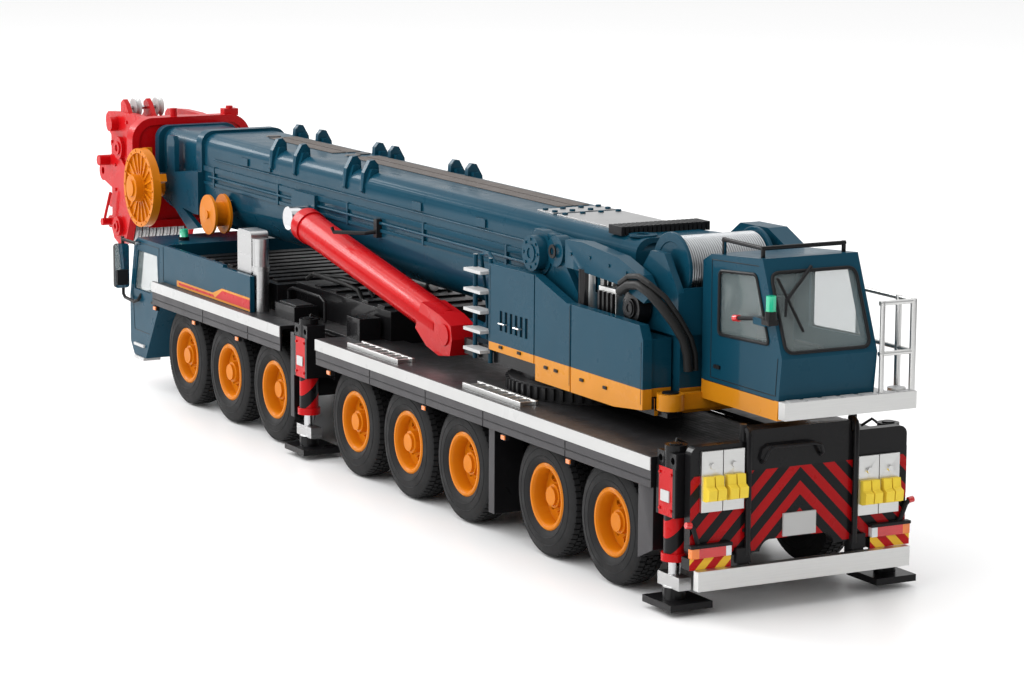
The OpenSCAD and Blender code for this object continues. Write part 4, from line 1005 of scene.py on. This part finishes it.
class CRANE_OT_boom(Piece, bpy.types.Operator):
    """Boom sections, red head, sheaves, reels and lift cylinders"""

    bl_idname = "crane.boom"
    bl_label = "Boom"

    def make(self):
        dress("boom_base", ["blue", "plastic"],
              lambda c, n: "plastic" if c.z > BOOM_TOP + 0.2 and c.x < -128 else "blue", edge=0.16)
        dress("boom_section_2", ["blue"], edge=0.16)
        dress("boom_inner_section", ["blue"], edge=0.16)
        dress("boom_head", ["red", "chrome"], self.head_finish, edge=0.2)
        dress("head_sheaves", ["steel", "white"], lambda c, n: "white" if c.z > 75 else "steel", edge=0.06)
        dress("rope_reels", ["gold"], edge=0.08)
        dress("lift_barrels", ["red"], edge=0.2)
        dress("lift_rods", ["chrome"])
        self.top()
        self.head_gear()
        self.lift_gear()

    def head_finish(self, c, n):
        """Red, with a bright pin between the upper lugs."""
        pin = c.z > 78 and abs(c.x - 182.2) < 0.7 and -2.3 < c.y < 9.2 and abs(n.y) < 0.5
        return "chrome" if pin else "red"

    def top(self):
        parts = Maker()
        plate_z = BOOM_TOP + 0.05
        bolt = [(0.02, 0), (0.75, 0), (0.75, 0.5), (0.02, 0.6)]
        for y0, y1 in ((-8.2, -4.0), (-3.4, 0.8)):
            for x0, x1 in ((-84, 36), (48, 92)):
                parts.box(x0, x1, y0, y1, plate_z, plate_z + 0.25, "grip")
        for x0, x1 in ((-126, -98), (-96, -88)):
            parts.box(x0, x1, -9, 9, plate_z, plate_z + 0.4, "steel")
            for x in (x0 + 1.6, x1 - 1.6):
                for y in (-7.6, -2.6, 2.6, 7.6):
                    parts.lathe(bolt, (x, y, BOOM_TOP + 0.4), AXIS_Z, "blue", 12)
        parts.collar(1.6, 3.4, 0.5, (-138.6, 8.4, BOOM_TOP), AXIS_Z, "blue", 32)
        lid = [(0.02, 0), (2.4, 0), (2.2, 0.35), (0.02, 0.4)]
        for x, y in ((40.5, -2.0), (43.5, -6.6), (96, -2.5)):
            parts.lathe(lid, (x, y, BOOM_TOP), AXIS_Z, "black", 28)
        for s in SIDES:
            self.side_lines(parts, s)
        parts.done("boom_fittings", "boom", 0.06)

    def side_lines(self, parts, s):
        """Pipes with their clips, plates and the guide arm on one side of the boom."""
        for x in range(-80, 108, 46):
            parts.box(x - 0.5, x + 0.5, *across(s, 12.9, 13.7), 62.2, 68.2, "blue")
        for y, z, x1, r in ((13.5, 65.0, 108, 0.42), (13.4, 70.4, 104, 0.2)):
            parts.sweep(on_side(s, [(-92, y, z), (x1, y, z)]), r, "blue")
        parts.box(-8.5, -6.5, *across(s, 13.0, 14.6), 61.0, 66.0, "plastic")
        arm = [(-7.5, 13.8, 62.6), (-6.5, 17, 62.2), (2, 22.4, 61.8), (2.4, 22.8, 63.2)]
        parts.sweep(on_side(s, arm), 0.55, "plastic")
        for x in (-66, -30, 66, 82):
            parts.box(x - 2.6, x + 2.6, *across(s, 12.9, 13.5), 71.0, 73.2, "blue")

    def head_gear(self):
        """Bolts, ribs and bosses of the head's cheeks, and the rope falls between the sheaves."""
        parts = Maker()
        boss_y = 12.8
        bolts = ((160, 52), (160, 62), (160, 72), (170, 74.6), (178, 74.6), (188, 52), (188, 60), (178, 52),
                 (172, 60))
        for s in SIDES:
            for x, z in bolts:
                parts.rod((x, HEAD_CHEEK_Y * s, z), (x, (HEAD_CHEEK_Y + 0.5) * s, z), 0.6, "red", 6)
            rib = across(s, HEAD_CHEEK_Y, HEAD_CHEEK_Y + 0.9)
            parts.prism([(166, 50), (167.6, 50), (176, 72), (174.4, 72)], *rib, "red")
            parts.prism([(176, 58), (190, 66.4), (190, 67.8), (176, 59.4)], *rib, "red")
            parts.collar(1.1, 2.2, 0.4 * s, (183, boss_y * s, 66), AXIS_Y, "red", 24)
            parts.collar(0.9, 1.9, 0.4 * s, (185, boss_y * s, 40.5), AXIS_Y, "red", 24)
            parts.sweep(on_side(s, [(193.4, 13.6, 41), (191.6, 13.4, 45), (189.0, 13.0, 51)]), 0.5, "red")
        for i in range(-3, 4):
            y = i * 2.45
            for top, bend, foot in ((189.2, 190.6, 191.0), (176.8, 177.6, 179.0)):
                parts.sweep([(top, y, 66), (bend, y, 54), (foot, y, 41)], 0.3, "rope", 6)
        parts.done("head_gear", "boom_inner", 0.05)

    def lift_gear(self):
        """Gland rings where the rods leave the barrels, and collars on the foot pin."""
        along = (LIFT_EYE - LIFT_FOOT).normalized()
        parts = Maker()
        for s in SIDES:
            gland = LIFT_FOOT + along * 93.7 + Vector((0, 18 * s, 0))
            parts.collar(2.64, 3.9, 0.5, gland, along, "plastic", 32)
            parts.collar(1.62, 2.8, 0.4 * s, LIFT_FOOT + Vector((0, 22.2 * s, 0)), AXIS_Y, "red", 28)
        parts.done("lift_glands", "lift_barrel")


class CRANE_OT_stage(bpy.types.Operator):
    """White floor, soft light and the camera"""

    bl_idname = "crane.stage"
    bl_label = "Stage"

    def execute(self, context):
        scene = context.scene
        scene.view_settings.view_transform = "Standard"
        self.floor(scene)
        self.surroundings(scene)
        self.lights(scene)
        self.camera(scene)
        return {"FINISHED"}

    def floor(self, scene):
        mesh = bpy.data.meshes.new("floor")
        half, z = 6.0, -0.0002
        corners = [(-half, -half, z), (half, -half, z), (half, half, z), (-half, half, z)]
        mesh.from_pydata(corners, [], [(0, 1, 2, 3)])
        mat, tree, bsdf = shader("pale_floor")
        pale = tint(tree, noise(tree, 3, 2), (0.93, 0.93, 0.93), (0.95, 0.95, 0.95))
        tree.links.new(pale, bsdf.inputs["Base Color"])
        dial(bsdf, {"Roughness": 0.32, "Specular IOR Level": 0.35})
        mesh.materials.append(mat)
        obj = bpy.data.objects.new("floor", mesh)
        scene.collection.objects.link(obj)

    def surroundings(self, scene):
        """White room that is brighter above and in front of the crane."""
        world = bpy.data.worlds.new("studio")
        world.use_nodes = True
        tree = world.node_tree
        coord = tree.nodes.new("ShaderNodeTexCoord")
        split = tree.nodes.new("ShaderNodeSeparateXYZ")
        tree.links.new(coord.outputs["Generated"], split.inputs["Vector"])
        total = tree.nodes.new("ShaderNodeMath")
        ramps = (("Z", 0.0, 0.8, 0.1, 1.1), ("X", -0.2, 0.9, 0.0, 0.5))
        for i, (axis, start, end, low, high) in enumerate(ramps):
            ramp = tree.nodes.new("ShaderNodeMapRange")
            dial(ramp, {"From Min": start, "From Max": end, "To Min": low, "To Max": high})
            tree.links.new(split.outputs[axis], ramp.inputs["Value"])
            tree.links.new(ramp.outputs["Result"], total.inputs[i])
        background = tree.nodes["Background"]
        tree.links.new(total.outputs[0], background.inputs["Strength"])
        dial(background, {"Color": (1.0, 1.0, 1.0, 1)})
        scene.world = world

    def lights(self, scene):
        for name, place, target, size, power in (
            ("key", (-0.1, 1.2, 0.55), (-0.02, 0, 0.05), 1.5, 11.5),
            ("front", (0.95, 0.45, 0.6), (0.0, 0, 0.06), 0.5, 7.0),
            ("top", (0.1, 0.1, 1.1), (0, 0, 0.04), 1.2, 3.0),
        ):
            light = bpy.data.lights.new(name, "AREA")
            light.size = size
            light.energy = power
            obj = bpy.data.objects.new(name, light)
            obj.location = place
            obj.rotation_euler = (Vector(target) - Vector(place)).to_track_quat("-Z", "Y").to_euler()
            scene.collection.objects.link(obj)

    def camera(self, scene):
        az, el, roll = (math.radians(a) for a in (CAMERA_AZIMUTH, CAMERA_ELEVATION, CAMERA_ROLL))
        look = Vector((math.cos(el) * math.cos(az), math.cos(el) * math.sin(az), math.sin(el)))
        level = look.cross(Vector(AXIS_Z)).normalized()
        upright = level.cross(look)
        right = level * math.cos(roll) + upright * math.sin(roll)
        up = upright * math.cos(roll) - level * math.sin(roll)
        data = bpy.data.cameras.new("photo_view")
        data.sensor_width = SENSOR_MM
        data.lens = FOCAL_PIXELS * SENSOR_MM / PHOTO_PIXELS
        data.clip_start = 0.01
        cam = bpy.data.objects.new("photo_view", data)
        pose = Matrix((right, up, -look)).transposed().to_4x4()
        pose.translation = CAMERA_PLACE
        cam.matrix_world = pose
        scene.collection.objects.link(cam)
        scene.camera = cam


STEPS = (
    CRANE_OT_stage,
    CRANE_OT_wheels,
    CRANE_OT_carrier,
    CRANE_OT_rear,
    CRANE_OT_outriggers,
    CRANE_OT_superstructure,
    CRANE_OT_crane_cab,
    CRANE_OT_boom,
)


class CRANE_PT_panel(bpy.types.Panel):
    """Lists the steps that dress the crane"""

    bl_idname = "CRANE_PT_panel"
    bl_label = "Crane model"
    bl_space_type = "VIEW_3D"
    bl_region_type = "UI"
    bl_category = "Crane"

    def draw(self, context):
        for step in STEPS:
            self.layout.operator(step.bl_idname)
        for group in (context.scene.crane_colours, context.scene.crane_sizes):
            for key in group.bl_rna.properties.keys():
                if key not in {"rna_type", "name"}:
                    self.layout.prop(group, key)


CLASSES = (CraneColours, CraneSizes, *STEPS, CRANE_PT_panel)


def register():
    for cls in CLASSES:
        bpy.utils.register_class(cls)
    bpy.types.Scene.crane_colours = bpy.props.PointerProperty(type=CraneColours)
    bpy.types.Scene.crane_sizes = bpy.props.PointerProperty(type=CraneSizes)


def unregister():
    del bpy.types.Scene.crane_sizes
    del bpy.types.Scene.crane_colours
    for cls in reversed(CLASSES):
        bpy.utils.unregister_class(cls)


def main():
    register()
    make_finishes()
    for step in STEPS:
        space, op = step.bl_idname.split(".")
        getattr(getattr(bpy.ops, space), op)()


if __name__ == "__main__":
    main()
